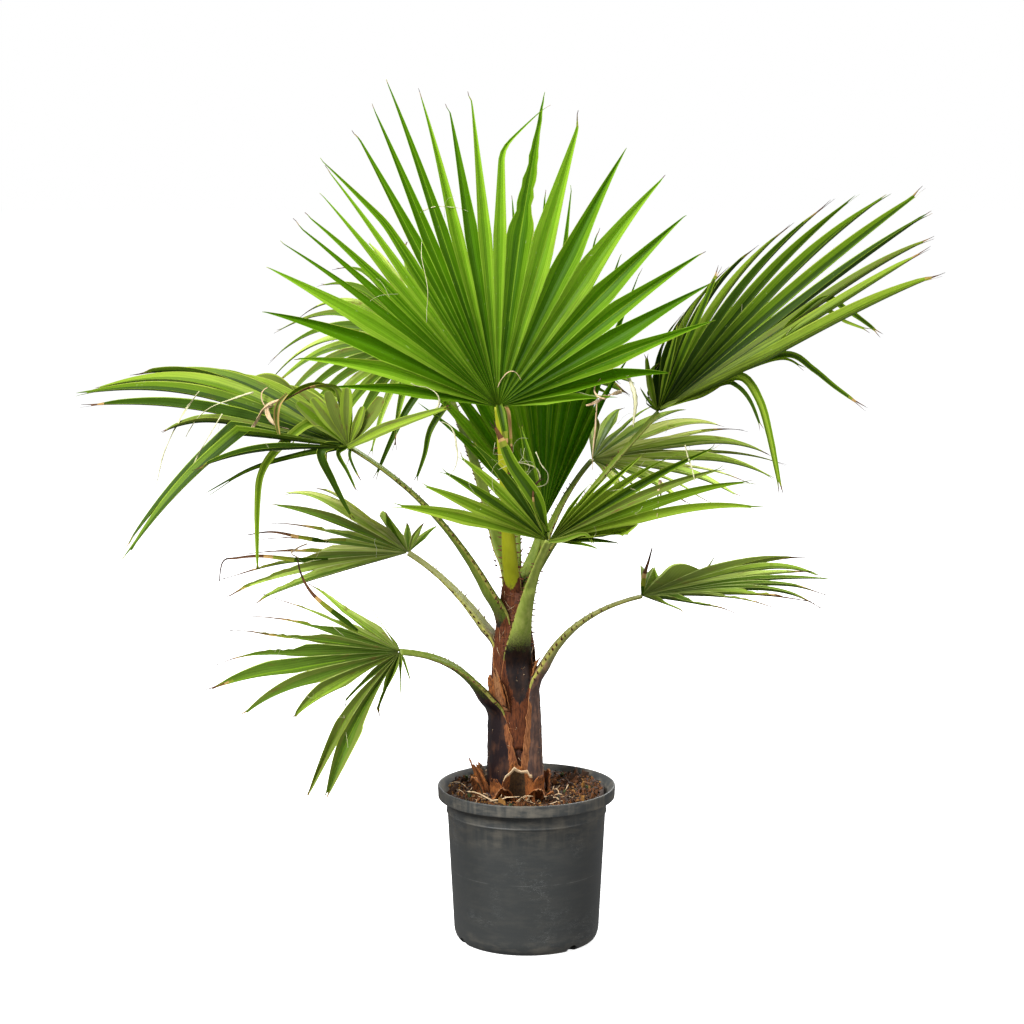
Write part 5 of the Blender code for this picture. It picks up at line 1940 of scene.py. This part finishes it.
@dataclass
class Ribbon:
    """A torn strip of an old leaf base that rises from the soil or the trunk and curls outward."""

    azimuth: float
    radius: float
    height: float
    width: float
    lean: float = 0.15
    curl: float = 0.8
    cup: float = 0.6
    twist: float = 0.0
    base: float = 0.209
    rag: float = 0.25
    narrowing: float = 0.5
    slots: tuple = (0, 0, 0)
    seed: int = 1
    levels: int = 18
    strips: int = 10

    def add(self, surface: Surface, trunk: TrunkShape) -> None:
        """Add the strip.

        Args:
            surface: what it is added to.
            trunk: the trunk round which it stands.
        """
        chance = np.random.default_rng(self.seed + 800)
        outward = level_way(math.radians(self.azimuth))
        sideways = np.cross(UP, outward)
        tears = chance.uniform(1.0 - self.rag, 1.0, self.strips + 1)
        place = trunk.centre(self.base) + outward * self.radius
        grid = []
        for level in range(self.levels + 1):
            share = level / self.levels
            tilt = self.lean + self.curl * share ** 1.4
            way = UP * math.cos(tilt) + outward * math.sin(tilt)
            front = outward * math.cos(tilt) - UP * math.sin(tilt)
            swing = self.twist * share
            side = sideways * math.cos(swing) + front * math.sin(swing)
            front = front * math.cos(swing) - sideways * math.sin(swing)
            half = self.width / 2.0 * (1.0 - self.narrowing * share ** 1.5)
            row = []
            for strip in range(self.strips + 1):
                spread = -1.0 + 2.0 * strip / self.strips
                bent = max(self.cup, 1e-3)
                point = place + side * half * math.sin(bent * spread) / bent
                point = point + front * half * (1.0 - math.cos(bent * spread)) / bent
                point = point + front * 0.0016 * wobble(point, 170.0, float(self.seed))
                point = point - way * self.height * share ** 4 * (1.0 - tears[strip])
                row.append(surface.point(point))
            grid.append(row)
            place = place + way * self.height / self.levels
        for level, (low, high) in enumerate(zip(grid, grid[1:])):
            for strip in range(self.strips):
                off = abs(strip + 0.5 - self.strips / 2.0) / (self.strips / 2.0)
                slot = self.slots[1] if off < 0.45 else self.slots[0]
                if level >= self.levels - 2:
                    slot = self.slots[2]
                surface.face((low[strip], low[strip + 1], high[strip + 1], high[strip]), slot)


RIBBONS = (
    Ribbon(azimuth=272.0, radius=0.048, height=0.074, width=0.066, lean=0.34, curl=0.35, cup=1.15, rag=0.22,
           narrowing=0.25, slots=(0, 1, 3), seed=1),
    Ribbon(azimuth=256.0, radius=0.056, height=0.060, width=0.034, lean=0.45, curl=1.3, cup=0.9, twist=-0.5,
           slots=(0, 0, 5), seed=2),
    Ribbon(azimuth=294.0, radius=0.055, height=0.056, width=0.032, lean=0.50, curl=1.2, cup=0.9, twist=0.6,
           slots=(0, 2, 5), seed=3),
    Ribbon(azimuth=268.0, radius=0.060, height=0.036, width=0.020, lean=0.70, curl=1.5, cup=0.7,
           slots=(0, 0, 0), seed=4),
    Ribbon(azimuth=246.0, radius=0.055, height=0.040, width=0.018, lean=0.55, curl=1.6, cup=1.0, twist=-0.9,
           slots=(0, 1, 2), seed=5),
    Ribbon(azimuth=236.0, radius=0.058, height=0.030, width=0.022, lean=0.35, curl=1.0, cup=1.6,
           slots=(4, 1, 4), seed=6),
    Ribbon(azimuth=206.0, radius=0.050, height=0.072, width=0.015, lean=0.28, curl=0.25, cup=0.8,
           narrowing=0.85, slots=(0, 0, 0), seed=7),
    Ribbon(azimuth=220.0, radius=0.054, height=0.056, width=0.036, lean=0.30, curl=0.7, cup=1.2,
           slots=(0, 1, 2), seed=8),
    Ribbon(azimuth=304.0, radius=0.052, height=0.034, width=0.016, lean=0.60, curl=1.4, cup=0.8, twist=0.9,
           slots=(2, 0, 3), seed=9),
    Ribbon(azimuth=322.0, radius=0.050, height=0.030, width=0.014, lean=0.50, curl=0.9, cup=0.8,
           slots=(0, 0, 2), seed=10),
    Ribbon(azimuth=262.0, radius=0.066, height=0.024, width=0.013, lean=1.00, curl=0.9, cup=0.5, twist=0.4,
           slots=(3, 3, 3), seed=11),
    Ribbon(azimuth=282.0, radius=0.064, height=0.030, width=0.010, lean=1.10, curl=0.6, cup=0.5, twist=-0.4,
           slots=(3, 2, 3), seed=12),
    Ribbon(azimuth=238.0, radius=0.0385, height=0.066, width=0.034, lean=0.16, curl=0.35, cup=0.9, base=0.352,
           rag=0.55, twist=0.35, narrowing=0.15, slots=(0, 5, 5), seed=13),
    Ribbon(azimuth=250.0, radius=0.0375, height=0.050, width=0.016, lean=0.15, curl=0.5, cup=0.7, base=0.345,
           rag=0.7, twist=0.5, slots=(2, 5, 2), seed=14),
    Ribbon(azimuth=318.0, radius=0.0380, height=0.030, width=0.010, lean=0.10, curl=0.8, cup=0.4, base=0.395,
           rag=0.6, twist=-0.5, slots=(2, 2, 2), seed=15),
    Ribbon(azimuth=60.0, radius=0.050, height=0.040, width=0.022, lean=0.40, curl=1.0, cup=0.9,
           slots=(0, 1, 2), seed=16),
    Ribbon(azimuth=138.0, radius=0.050, height=0.050, width=0.024, lean=0.30, curl=0.8, cup=1.1,
           slots=(0, 1, 2), seed=17),
)


@dataclass(frozen=True)
class Curl:
    """A loose thread or dried strip that hangs and winds.

    winding is how many radians it turns for each metre, and weight how strongly it is drawn
    to the ground. A width above nought makes it a flat strip and otherwise it is a thread.
    """

    start: tuple
    heading: tuple
    length: float
    winding: float = 60.0
    weight: float = 6.0
    thickness: float = 0.00032
    width: float = 0.0
    slot: int = 0
    seed: int = 1

    def path(self) -> Array:
        """The points along its middle."""
        chance = np.random.default_rng(self.seed + 900)
        count = max(int(self.length / 0.0035), 8)
        step = self.length / count
        way = unit(np.array(self.heading, float))
        pole = unit(chance.normal(0.0, 1.0, 3))
        point = np.array(self.start, float)
        points = [point]
        for _ in range(count):
            pole = unit(pole + chance.normal(0.0, 0.50, 3))
            way = unit(way + np.cross(pole, way) * self.winding * step - UP * self.weight * step)
            point = point + way * step
            points.append(point)
        return np.array(points)

    def add(self, surface: Surface, leaves: BVHTree | None = None) -> None:
        """Add it to a surface.

        Args:
            surface: what it is added to.
            leaves: the blades it is seated on, if it may float.
        """
        path = seated(self.path(), leaves) if leaves else self.path()
        if self.width <= 0.0:
            radii = [self.thickness * (1.0 - 0.6 * index / len(path)) for index in range(len(path))]
            surface.tube(path, radii, sides=4, slot=self.slot)
            return
        chance = np.random.default_rng(self.seed + 950)
        side = unit(np.cross(path[1] - path[0], chance.normal(0.0, 1.0, 3)))
        rows = []
        for index, place in enumerate(path):
            way = course(path, index)
            side = unit(side - way * float(side @ way))
            side = unit(side + np.cross(way, side) * chance.normal(0.10, 0.14))
            thin = np.cross(way, side)
            share = index / (len(path) - 1)
            half = self.width / 2.0 * (1.0 - 0.75 * share ** 2) * chance.uniform(0.85, 1.1)
            dip = thin * half * 0.5
            rows.append([surface.point(place + offset) for offset in (
                -side * half + dip, -side * half * 0.4, side * half * 0.4, side * half + dip,
                side * half * 0.4 - thin * self.thickness, -side * half * 0.4 - thin * self.thickness)])
        surface.loft(rows, self.slot)


CURLS = (
    Curl((-0.342, -0.100, 0.807), (-0.9, 0.0, 0.2), 0.075, 20.0, 22.0, width=0.009, slot=1, seed=1),
    Curl((-0.363, -0.102, 0.803), (-0.3, -0.2, -1.0), 0.055, 50.0, 8.0, width=0.007, slot=1, seed=2),
    Curl((-0.355, -0.100, 0.800), (-0.9, 0.0, -0.4), 0.050, 90.0, 4.0, width=0.004, slot=1, seed=3),
    Curl((-0.456, -0.120, 0.822), (-0.5, -0.3, -0.6), 0.150, 9.0, 4.0, width=0.0030, seed=4),
    Curl((-0.425, -0.120, 0.790), (-0.5, -0.3, -0.9), 0.130, 8.0, 2.0, width=0.0026, seed=5),
    Curl((-0.380, -0.120, 0.820), (-0.9, -0.2, -0.2), 0.120, 12.0, 5.0, width=0.0034, seed=6),
    Curl((-0.133, -0.100, 0.790), (0.6, -0.2, 0.2), 0.080, 70.0, 10.0, width=0.0035, seed=7),
    Curl((-0.118, -0.100, 0.780), (0.8, -0.2, -0.2), 0.090, 40.0, 14.0, width=0.0030, seed=8),
    Curl((-0.120, -0.100, 0.776), (0.5, -0.3, -0.7), 0.100, 60.0, 6.0, seed=9),
    Curl((-0.221, 0.030, 0.590), (-0.4, -0.6, -0.6), 0.110, 75.0, 2.0, seed=10),
    Curl((-0.287, 0.030, 0.590), (-0.8, -0.4, -0.2), 0.090, 60.0, 3.0, seed=11),
    Curl((-0.320, 0.028, 0.583), (-0.7, -0.3, -0.3), 0.080, 55.0, 6.0, width=0.003, slot=1, seed=12),
    Curl((0.112, -0.030, 0.802), (-0.9, -0.2, 0.1), 0.060, 95.0, 2.0, width=0.007, slot=1, seed=13),
    Curl((0.135, -0.030, 0.803), (-1.0, -0.2, 0.1), 0.070, 45.0, 6.0, width=0.009, slot=1, seed=14),
    Curl((0.102, -0.035, 0.784), (0.0, 0.0, -1.0), 0.105, 6.0, 12.0, width=0.0035, slot=1, seed=15),
    Curl((0.150, -0.030, 0.812), (0.3, -0.3, -0.9), 0.075, 14.0, 4.0, width=0.008, seed=16),
    Curl((0.187, -0.100, 0.694), (0.2, -0.2, -0.9), 0.055, 22.0, 4.0, width=0.003, slot=1, seed=17),
    Curl((0.186, -0.100, 0.694), (-0.2, -0.2, -0.9), 0.050, 22.0, 4.0, width=0.003, slot=1, seed=18),
    Curl((0.223, -0.080, 0.741), (0.3, -0.2, -0.8), 0.055, 22.0, 4.0, width=0.004, seed=19),
    Curl((-0.041, -0.075, 0.822), (0.1, -0.4, 0.9), 0.060, 50.0, 8.0, width=0.002, slot=1, seed=20),
    Curl((-0.150, -0.042, 1.066), (0.7, -0.1, 0.5), 0.070, 22.0, 16.0, width=0.0016, seed=21),
    Curl((-0.148, -0.046, 1.025), (-0.1, -0.1, -0.9), 0.115, 16.0, 2.0, width=0.0016, seed=22),
    Curl((-0.031, -0.140, 0.735), (0.2, -0.3, -0.6), 0.110, 85.0, 5.0, seed=23),
    Curl((-0.004, -0.142, 0.745), (0.0, -0.3, -0.8), 0.120, 80.0, 5.0, seed=24),
    Curl((0.012, -0.145, 0.740), (0.2, -0.2, -0.8), 0.110, 60.0, 6.0, width=0.0035, seed=25),
    Curl((0.004, -0.142, 0.712), (-0.5, -0.3, -0.5), 0.100, 90.0, 4.0, seed=26),
    Curl((-0.045, -0.140, 0.752), (-0.2, -0.3, -0.5), 0.100, 95.0, 4.0, seed=27),
    Curl((0.018, -0.140, 0.700), (0.1, -0.3, 0.8), 0.080, 70.0, 8.0, width=0.0045, seed=28),
    Curl((-0.257, -0.125, 0.475), (-0.6, -0.4, 0.6), 0.100, 40.0, 12.0, seed=29),
    Curl((-0.319, -0.145, 0.476), (-0.8, -0.3, 0.4), 0.100, 45.0, 12.0, seed=30),
    Curl((0.270, -0.055, 0.516), (0.8, -0.3, 0.3), 0.100, 50.0, 14.0, seed=31),
)


@dataclass
class Threads:
    """The threads that hang between a fan's segments, and the dried strips of the crown."""

    chance: np.random.Generator
    shortest: float = 0.02
    longest: float = 0.085

    def add_to_fan(self, surface: Surface, frond: Frond) -> None:
        """Add the threads that leave a fan where its segments part.

        Args:
            surface: what they are added to.
            frond: the fan's frond.
        """
        chance = self.chance
        for index in range(1, frond.segments):
            if chance.uniform() > frond.threads:
                continue
            angle = between(frond.spread, index)
            if any(gap[0] < angle < gap[1] for gap in frond.gaps):
                continue
            path = frond.rib(angle, between(frond.reach, angle))
            start = along(path, frond.split + chance.uniform(-0.02, 0.06))
            heading = unit(path[-1] - path[len(path) // 2]) + chance.normal(0.0, 0.5, 3)
            length = chance.uniform(self.shortest, self.longest)
            Curl(tuple(start), tuple(heading), length, chance.uniform(15.0, 90.0), chance.uniform(4.0, 16.0),
                 seed=int(chance.integers(1, 10000))).add(surface)

    def build(self) -> None:
        """Build all of them."""
        surface = Surface()
        for frond in FRONDS:
            self.add_to_fan(surface, frond)
        leaves = leaf_tree()
        for curl in CURLS:
            curl.add(surface, leaves)
        item = surface.build("crown_threads", [THREAD.material(), STRAW.material()])
        hand_over(item, "blade")


@dataclass
class Pot:
    """The round nursery pot."""

    height: float = 0.230
    rim_radius: float = 0.130
    rim_height: float = 0.018
    lip: float = 0.003
    wall_top: float = 0.1175
    wall_foot: float = 0.107
    foot: float = 0.097
    foot_rounding: float = 0.020
    thickness: float = 0.003
    step_height: float = 0.192
    step_depth: float = 0.0012
    sides: int = 180
    drain_azimuths: tuple = (-154.0, -50.0, 34.0, 118.0)
    drain_radius: float = 0.0085
    drain_height: float = 0.006
    drain_depth: float = 0.030
    drain_tilt: float = 130.0

    def arc(self, radius: float, height: float, size: tuple[float, float], turns: tuple[float, float],
            count: int) -> list[tuple[float, float]]:
        """Points on a rounded corner.

        Args:
            radius: the radius of its middle.
            height: the height of its middle.
            size: its width and height.
            turns: the first and last angle in degrees, from outward to up.
            count: how many points it has.

        Returns:
            (radius, height) pairs.
        """
        points = []
        for turn in np.linspace(math.radians(turns[0]), math.radians(turns[1]), count):
            points.append((radius + size[0] * math.cos(turn), height + size[1] * math.sin(turn)))
        return points

    def profile(self) -> list[tuple[float, float]]:
        """The section from the middle of the floor over the rim to the middle of the foot."""
        rim_foot = self.height - self.rim_height
        inner_foot = self.wall_foot - self.thickness
        inner_top = self.wall_top - self.thickness
        half = self.thickness / 2.0
        points = [(0.0, self.thickness), (self.foot - self.thickness - 0.004, self.thickness)]
        radii = (inner_foot - self.foot + self.thickness, self.foot_rounding - self.thickness)
        points += self.arc(self.foot - self.thickness, self.foot_rounding, radii, (-90.0, 0.0), 7)
        points += [(inner_foot + (inner_top - inner_foot) * share, self.foot_rounding
                    + (rim_foot - self.foot_rounding) * share) for share in (0.25, 0.5, 0.75, 1.0)]
        points += [(self.rim_radius - 2.0 * self.thickness, self.height - self.lip)]
        rim = self.rim_radius - half * 1.2
        points += self.arc(rim, self.height - half, (half * 1.1, half), (150.0, 0.0), 9)
        points += [(self.rim_radius, self.height - self.lip)]
        points += [(self.rim_radius - 0.0006, rim_foot + 0.003)]
        points += self.arc(self.rim_radius - 0.0022, rim_foot + 0.0016, (0.0016, 0.0016), (0.0, -90.0), 5)
        points += [(self.wall_top + self.lip, rim_foot + 0.0004)]
        points += self.arc(self.wall_top + 0.0016, rim_foot - 0.0016, (0.0016, 0.0016), (90.0, 180.0), 4)
        step = self.wall_top - self.step_depth / 2.0
        points += [(step, self.step_height + 0.002)]
        points += self.arc(step - 0.0002, self.step_height, (0.0007, 0.0014), (70.0, -70.0), 6)
        lower = self.wall_top - self.step_depth * 1.5
        points += [(lower, self.step_height - 0.003)]
        points += [(self.wall_foot + (lower - self.wall_foot) * share,
                    self.foot_rounding + (self.step_height - 0.003 - self.foot_rounding) * share)
                   for share in (0.8, 0.6, 0.4, 0.2)]
        points += self.arc(self.foot, self.foot_rounding, (self.wall_foot - self.foot, self.foot_rounding),
                           (0.0, -90.0), 10)
        points += [(self.foot * 0.9, 0.0), (0.0, 0.0)]
        return points

    def build(self) -> None:
        """Build the pot with its drain holes."""
        surface = Surface()
        rows = []
        profile = self.profile()
        for radius, height in profile:
            if radius < 1e-6:
                rows.append([surface.point(np.array((0.0, 0.0, height)))] * self.sides)
                continue
            row = []
            for side in range(self.sides):
                azimuth = math.tau * side / self.sides
                share = height / self.height
                dent = 0.0006 * math.sin(2.0 * azimuth + 0.7) + 0.0003 * math.sin(5.0 * azimuth)
                dent *= share
                own = radius + dent
                row.append(surface.point(own * level_way(azimuth) + UP * height))
            rows.append(row)
        for low, high in zip(rows, rows[1:]):
            for side, after in around(self.sides):
                corners = (low[side], low[after], high[after], high[side])
                surface.face(list(dict.fromkeys(corners)))
        item = surface.build("pot_body", [PLASTIC.material()])
        item.data.set_sharp_from_angle(angle=math.radians(50.0))
        self.drill(item)
        hand_over(item, "pot", "pot")

    def drill(self, item: bpy.types.Object) -> None:
        """Cut the drain holes.

        Args:
            item: the pot.
        """
        drains = []
        for azimuth in self.drain_azimuths:
            turn = math.radians(azimuth)
            tilt = math.radians(self.drain_tilt)
            middle = np.array((math.cos(turn) * self.foot, math.sin(turn) * self.foot, self.drain_height))
            way = np.array((math.sin(tilt) * math.cos(turn), math.sin(tilt) * math.sin(turn), math.cos(tilt)))
            surface = Surface()
            ends = np.array([middle - way * self.drain_depth / 2.0, middle + way * self.drain_depth / 2.0])
            surface.tube(ends, [self.drain_radius, self.drain_radius], sides=28)
            drain = surface.build("drain_cutter", [], smooth=False)
            cut = item.modifiers.new("drain", "BOOLEAN")
            cut.operation = "DIFFERENCE"
            cut.solver = "EXACT"
            cut.object = drain
            drains.append(drain)
        settle(item)
        for drain in drains:
            bpy.data.objects.remove(drain, do_unlink=True)


@dataclass
class Soil:
    """The earth in the pot, with its chips and straw."""

    pot: Pot
    trunk: TrunkShape
    top: float = 0.213
    radius: float = 0.1135
    rings: int = 46
    sides: int = 150
    chips: int = 4200
    straws: int = 34
    long_straws: int = 9
    bank: float = 0.010
    bank_start: float = 0.60

    def surface_height(self, x: float, y: float) -> float:
        """The height of the earth at a place."""
        place = np.array((x, y, 0.0))
        out = math.hypot(x, y) / self.radius
        bank = self.bank * smooth_step((out - self.bank_start) / (1.0 - self.bank_start))
        return self.top + bank + 0.0030 * wobble(place, 34.0, 11.0) + 0.0022 * wobble(place, 120.0, 5.0)

    def build(self) -> None:
        """Build the earth and what lies on it."""
        surface = Surface()
        rows = []
        for ring in range(self.rings + 1):
            radius = self.radius * ring / self.rings
            row = []
            for side in range(self.sides):
                azimuth = math.tau * side / self.sides
                x, y = radius * math.cos(azimuth), radius * math.sin(azimuth)
                row.append(surface.point(np.array((x, y, self.surface_height(x, y)))))
            rows.append(row)
        inner = self.pot.wall_foot - self.pot.thickness - 0.0006
        low_radius = self.pot.foot - self.pot.thickness - 0.0006
        for radius, height in ((inner, self.pot.foot_rounding), (low_radius, self.pot.thickness + 0.0006)):
            rows.append([
                surface.point(np.array((radius * math.cos(turn), radius * math.sin(turn), height)))
                for turn in (math.tau * side / self.sides for side in range(self.sides))
            ])
        for low, high in zip(rows, rows[1:]):
            for side, after in around(self.sides):
                surface.face((low[side], high[side], high[after], low[after]))
        surface.face(rows[-1][::-1])
        item = surface.build("soil_body", [EARTH.material()])
        hand_over(item, "soil", "soil")
        self.scatter()

    def scatter(self) -> None:
        """Build the chips and the straw."""
        chance = np.random.default_rng(601)
        surface = Surface()
        for _ in range(self.chips):
            radius = self.radius * 0.985 * math.sqrt(chance.uniform(0.0, 1.0))
            azimuth = chance.uniform(0.0, math.tau)
            x, y = radius * math.cos(azimuth), radius * math.sin(azimuth)
            size = chance.lognormal(math.log(0.0029), 0.50)
            middle = np.array((x, y, self.surface_height(x, y) + size * 0.10))
            turn = Euler(chance.uniform(0.0, math.tau, 3)).to_matrix()
            half = np.array((size * chance.uniform(0.9, 2.4), size * chance.uniform(0.4, 0.9),
                             size * chance.uniform(0.2, 0.5))) / 2.0
            corners = []
            for signs in ((-1, -1, -1), (1, -1, -1), (1, 1, -1), (-1, 1, -1),
                          (-1, -1, 1), (1, -1, 1), (1, 1, 1), (-1, 1, 1)):
                local = np.array(signs) * half * chance.uniform(0.55, 1.1, 3)
                corners.append(surface.point(middle + np.array(turn @ Vector(local))))
            slot = int(chance.choice(4, p=[0.46, 0.38, 0.13, 0.03]))
            for quad in ((3, 2, 1, 0), (4, 5, 6, 7), (0, 1, 5, 4), (1, 2, 6, 5), (2, 3, 7, 6), (3, 0, 4, 7)):
                surface.face([corners[index] for index in quad], slot)
        materials = [chip.material() for chip in CHIPS]
        hand_over(surface.build("soil_chips", materials, smooth=False), "soil")
        self.strew()

    def strew(self) -> None:
        """Build the straw and dry strands that lie on the earth."""
        chance = np.random.default_rng(602)
        surface = Surface()
        foot = np.array((*self.trunk.foot_centre, 0.0))
        for index in range(self.straws):
            long = index < self.long_straws
            azimuth = math.radians(chance.normal(265.0, 22.0 if long else 80.0))
            radius = chance.uniform(0.072, 0.098) if long else chance.uniform(0.050, 0.100)
            start = foot + radius * level_way(azimuth)
            length = chance.uniform(0.032, 0.055) if long else chance.uniform(0.012, 0.042)
            way = level_way(azimuth + chance.uniform(-1.6, 1.6))
            bow = np.cross(UP, way) * chance.normal(0.0, 0.12) * length
            path = []
            for share in np.linspace(0.0, 1.0, 6):
                place = start + way * length * (share - 0.5) + bow * math.sin(math.pi * share)
                if math.hypot(place[0], place[1]) > self.radius:
                    place[:2] *= self.radius / math.hypot(place[0], place[1])
                lift = 0.002 + 0.003 * math.sin(math.pi * share) + (0.014 * share if long else 0.0)
                height = self.surface_height(place[0], place[1]) + lift
                path.append(np.array((place[0], place[1], height)))
            width = chance.uniform(0.0010, 0.0016) if long else chance.uniform(0.0004, 0.0011)
            radii = [width * part for part in (1.0, 1.0, 1.0, 0.9, 0.7, 0.4)]
            surface.tube(np.array(path), radii, sides=4)
        hand_over(surface.build("straw_strands", [STRAW.material()]), "husk")


@dataclass
class Studio:
    """The floor, the light and the camera."""

    camera_place: tuple = (-0.0213, -3.76, 1.20)
    camera_tilt: float = 8.565
    lens: float = 92.46
    sensor: float = 36.0
    floor_size: float = 60.0
    ambient: float = 0.25

    def build(self) -> None:
        """Set up the studio."""
        scene = bpy.context.scene
        scene.view_settings.view_transform = "Standard"
        half = self.floor_size / 2.0
        surface = Surface()
        signs = ((-1.0, -1.0), (1.0, -1.0), (1.0, 1.0), (-1.0, 1.0))
        surface.face([surface.point(np.array((x * half, y * half, 0.0))) for x, y in signs])
        floor = surface.build("floor", [FloorFinish().material()], smooth=False)
        floor.visible_diffuse = False
        floor.visible_glossy = False
        self.backdrop(scene)
        self.light("key", (-2.3, -2.6, 3.3), 1.8, 350.0)
        self.light("fill", (3.0, -2.4, 1.6), 2.4, 70.0)
        self.light("back", (0.9, 2.7, 3.2), 2.4, 215.0)
        camera = bpy.data.cameras.new("camera")
        camera.lens = self.lens
        camera.sensor_width = self.sensor
        item = bpy.data.objects.new("camera", camera)
        item.location = self.camera_place
        item.rotation_euler = (math.radians(90.0 - self.camera_tilt), 0.0, 0.0)
        scene.collection.objects.link(item)
        scene.camera = item

    def backdrop(self, scene: bpy.types.Scene) -> None:
        """Give the scene a world that looks white and lights softly.

        Args:
            scene: the scene.
        """
        world = bpy.data.worlds.new("studio")
        scene.world = world
        world.use_nodes = True
        nodes, links = world.node_tree.nodes, world.node_tree.links
        soft = nodes["Background"]
        soft.inputs["Color"].default_value = (1.0, 1.0, 1.0, 1.0)
        soft.inputs["Strength"].default_value = self.ambient
        white = nodes.new("ShaderNodeBackground")
        white.inputs["Color"].default_value = (1.0, 1.0, 1.0, 1.0)
        white.inputs["Strength"].default_value = 1.0
        seen = nodes.new("ShaderNodeLightPath")
        chosen = nodes.new("ShaderNodeMixShader")
        links.new(seen.outputs["Is Camera Ray"], chosen.inputs[0])
        links.new(soft.outputs[0], chosen.inputs[1])
        links.new(white.outputs[0], chosen.inputs[2])
        links.new(chosen.outputs[0], nodes["World Output"].inputs["Surface"])

    @staticmethod
    def light(name: str, place: tuple, size: float, power: float) -> None:
        """Add a soft light that looks at the plant.

        Args:
            name: its name.
            place: where it stands.
            size: the side of its square.
            power: its power in watts.
        """
        data = bpy.data.lights.new(name, "AREA")
        data.size = size
        data.energy = power
        item = bpy.data.objects.new(name, data)
        item.location = place
        aim = Vector((0.0, 0.0, 0.6)) - Vector(place)
        item.rotation_euler = aim.to_track_quat("-Z", "Y").to_euler()
        bpy.context.scene.collection.objects.link(item)


def build_husks(shape: TrunkShape) -> None:
    """Build the old husks, each for its own node.

    Args:
        shape: the trunk that they stand round.
    """
    for index, husk in enumerate(HUSKS):
        surface = Surface()
        husk.add(surface, shape)
        item = surface.build(f"husk_torn_{index + 1}", [HUSK.material()])
        hand_over(item, "husk", f"husk_{index + 1}")


def build_ribbons(shape: TrunkShape) -> None:
    """Build the torn strips round the trunk's foot.

    Args:
        shape: the trunk that they stand round.
    """
    surface = Surface()
    for ribbon in RIBBONS:
        ribbon.add(surface, shape)
    materials = [finish.material() for finish in (HUSK, HUSK_DARK, TORN, STRAW, STUB, TAN)]
    hand_over(surface.build("husk_ribbons", materials, shell=0.0013), "husk")


def build_leaves(shape: TrunkShape) -> None:
    """Build the fans, the stalks and their thorns.

    Args:
        shape: the trunk that the stalks clasp.
    """
    thorns = Surface()
    oldest_first = sorted(FRONDS, key=lambda frond: frond.foot[2])
    for rank, frond in enumerate(oldest_first):
        layer = 0.0012 - 0.0007 * rank
        stalk = Stalk(frond, shape, layer)
        stalk.build()
        Thorns(stalk).add(thorns)
    for frond in FRONDS:
        Blade(frond).build()
    hand_over(thorns.build("stalk_thorns", [THORN.material()]), "petiole")


def build_strips() -> None:
    """Build the segments that hang loose from their fans."""
    surface = Surface()
    leaves = leaf_tree()
    for strip in STRIPS:
        strip.add(surface, leaves)
    hand_over(surface.build("crown_strips", Palette.GROWN.materials(), shell=Blade.shell), "blade")


def main() -> None:
    """Build the scene."""
    logging.basicConfig(level=logging.INFO, format="%(name)s: %(message)s")
    shape = TrunkShape()
    pot = Pot()
    pot.build()
    Soil(pot, shape).build()
    Trunk(shape).build()
    build_husks(shape)
    build_ribbons(shape)
    build_leaves(shape)
    build_strips()
    Threads(np.random.default_rng(700)).build()
    Studio().build()


if __name__ == "__main__":
    main()
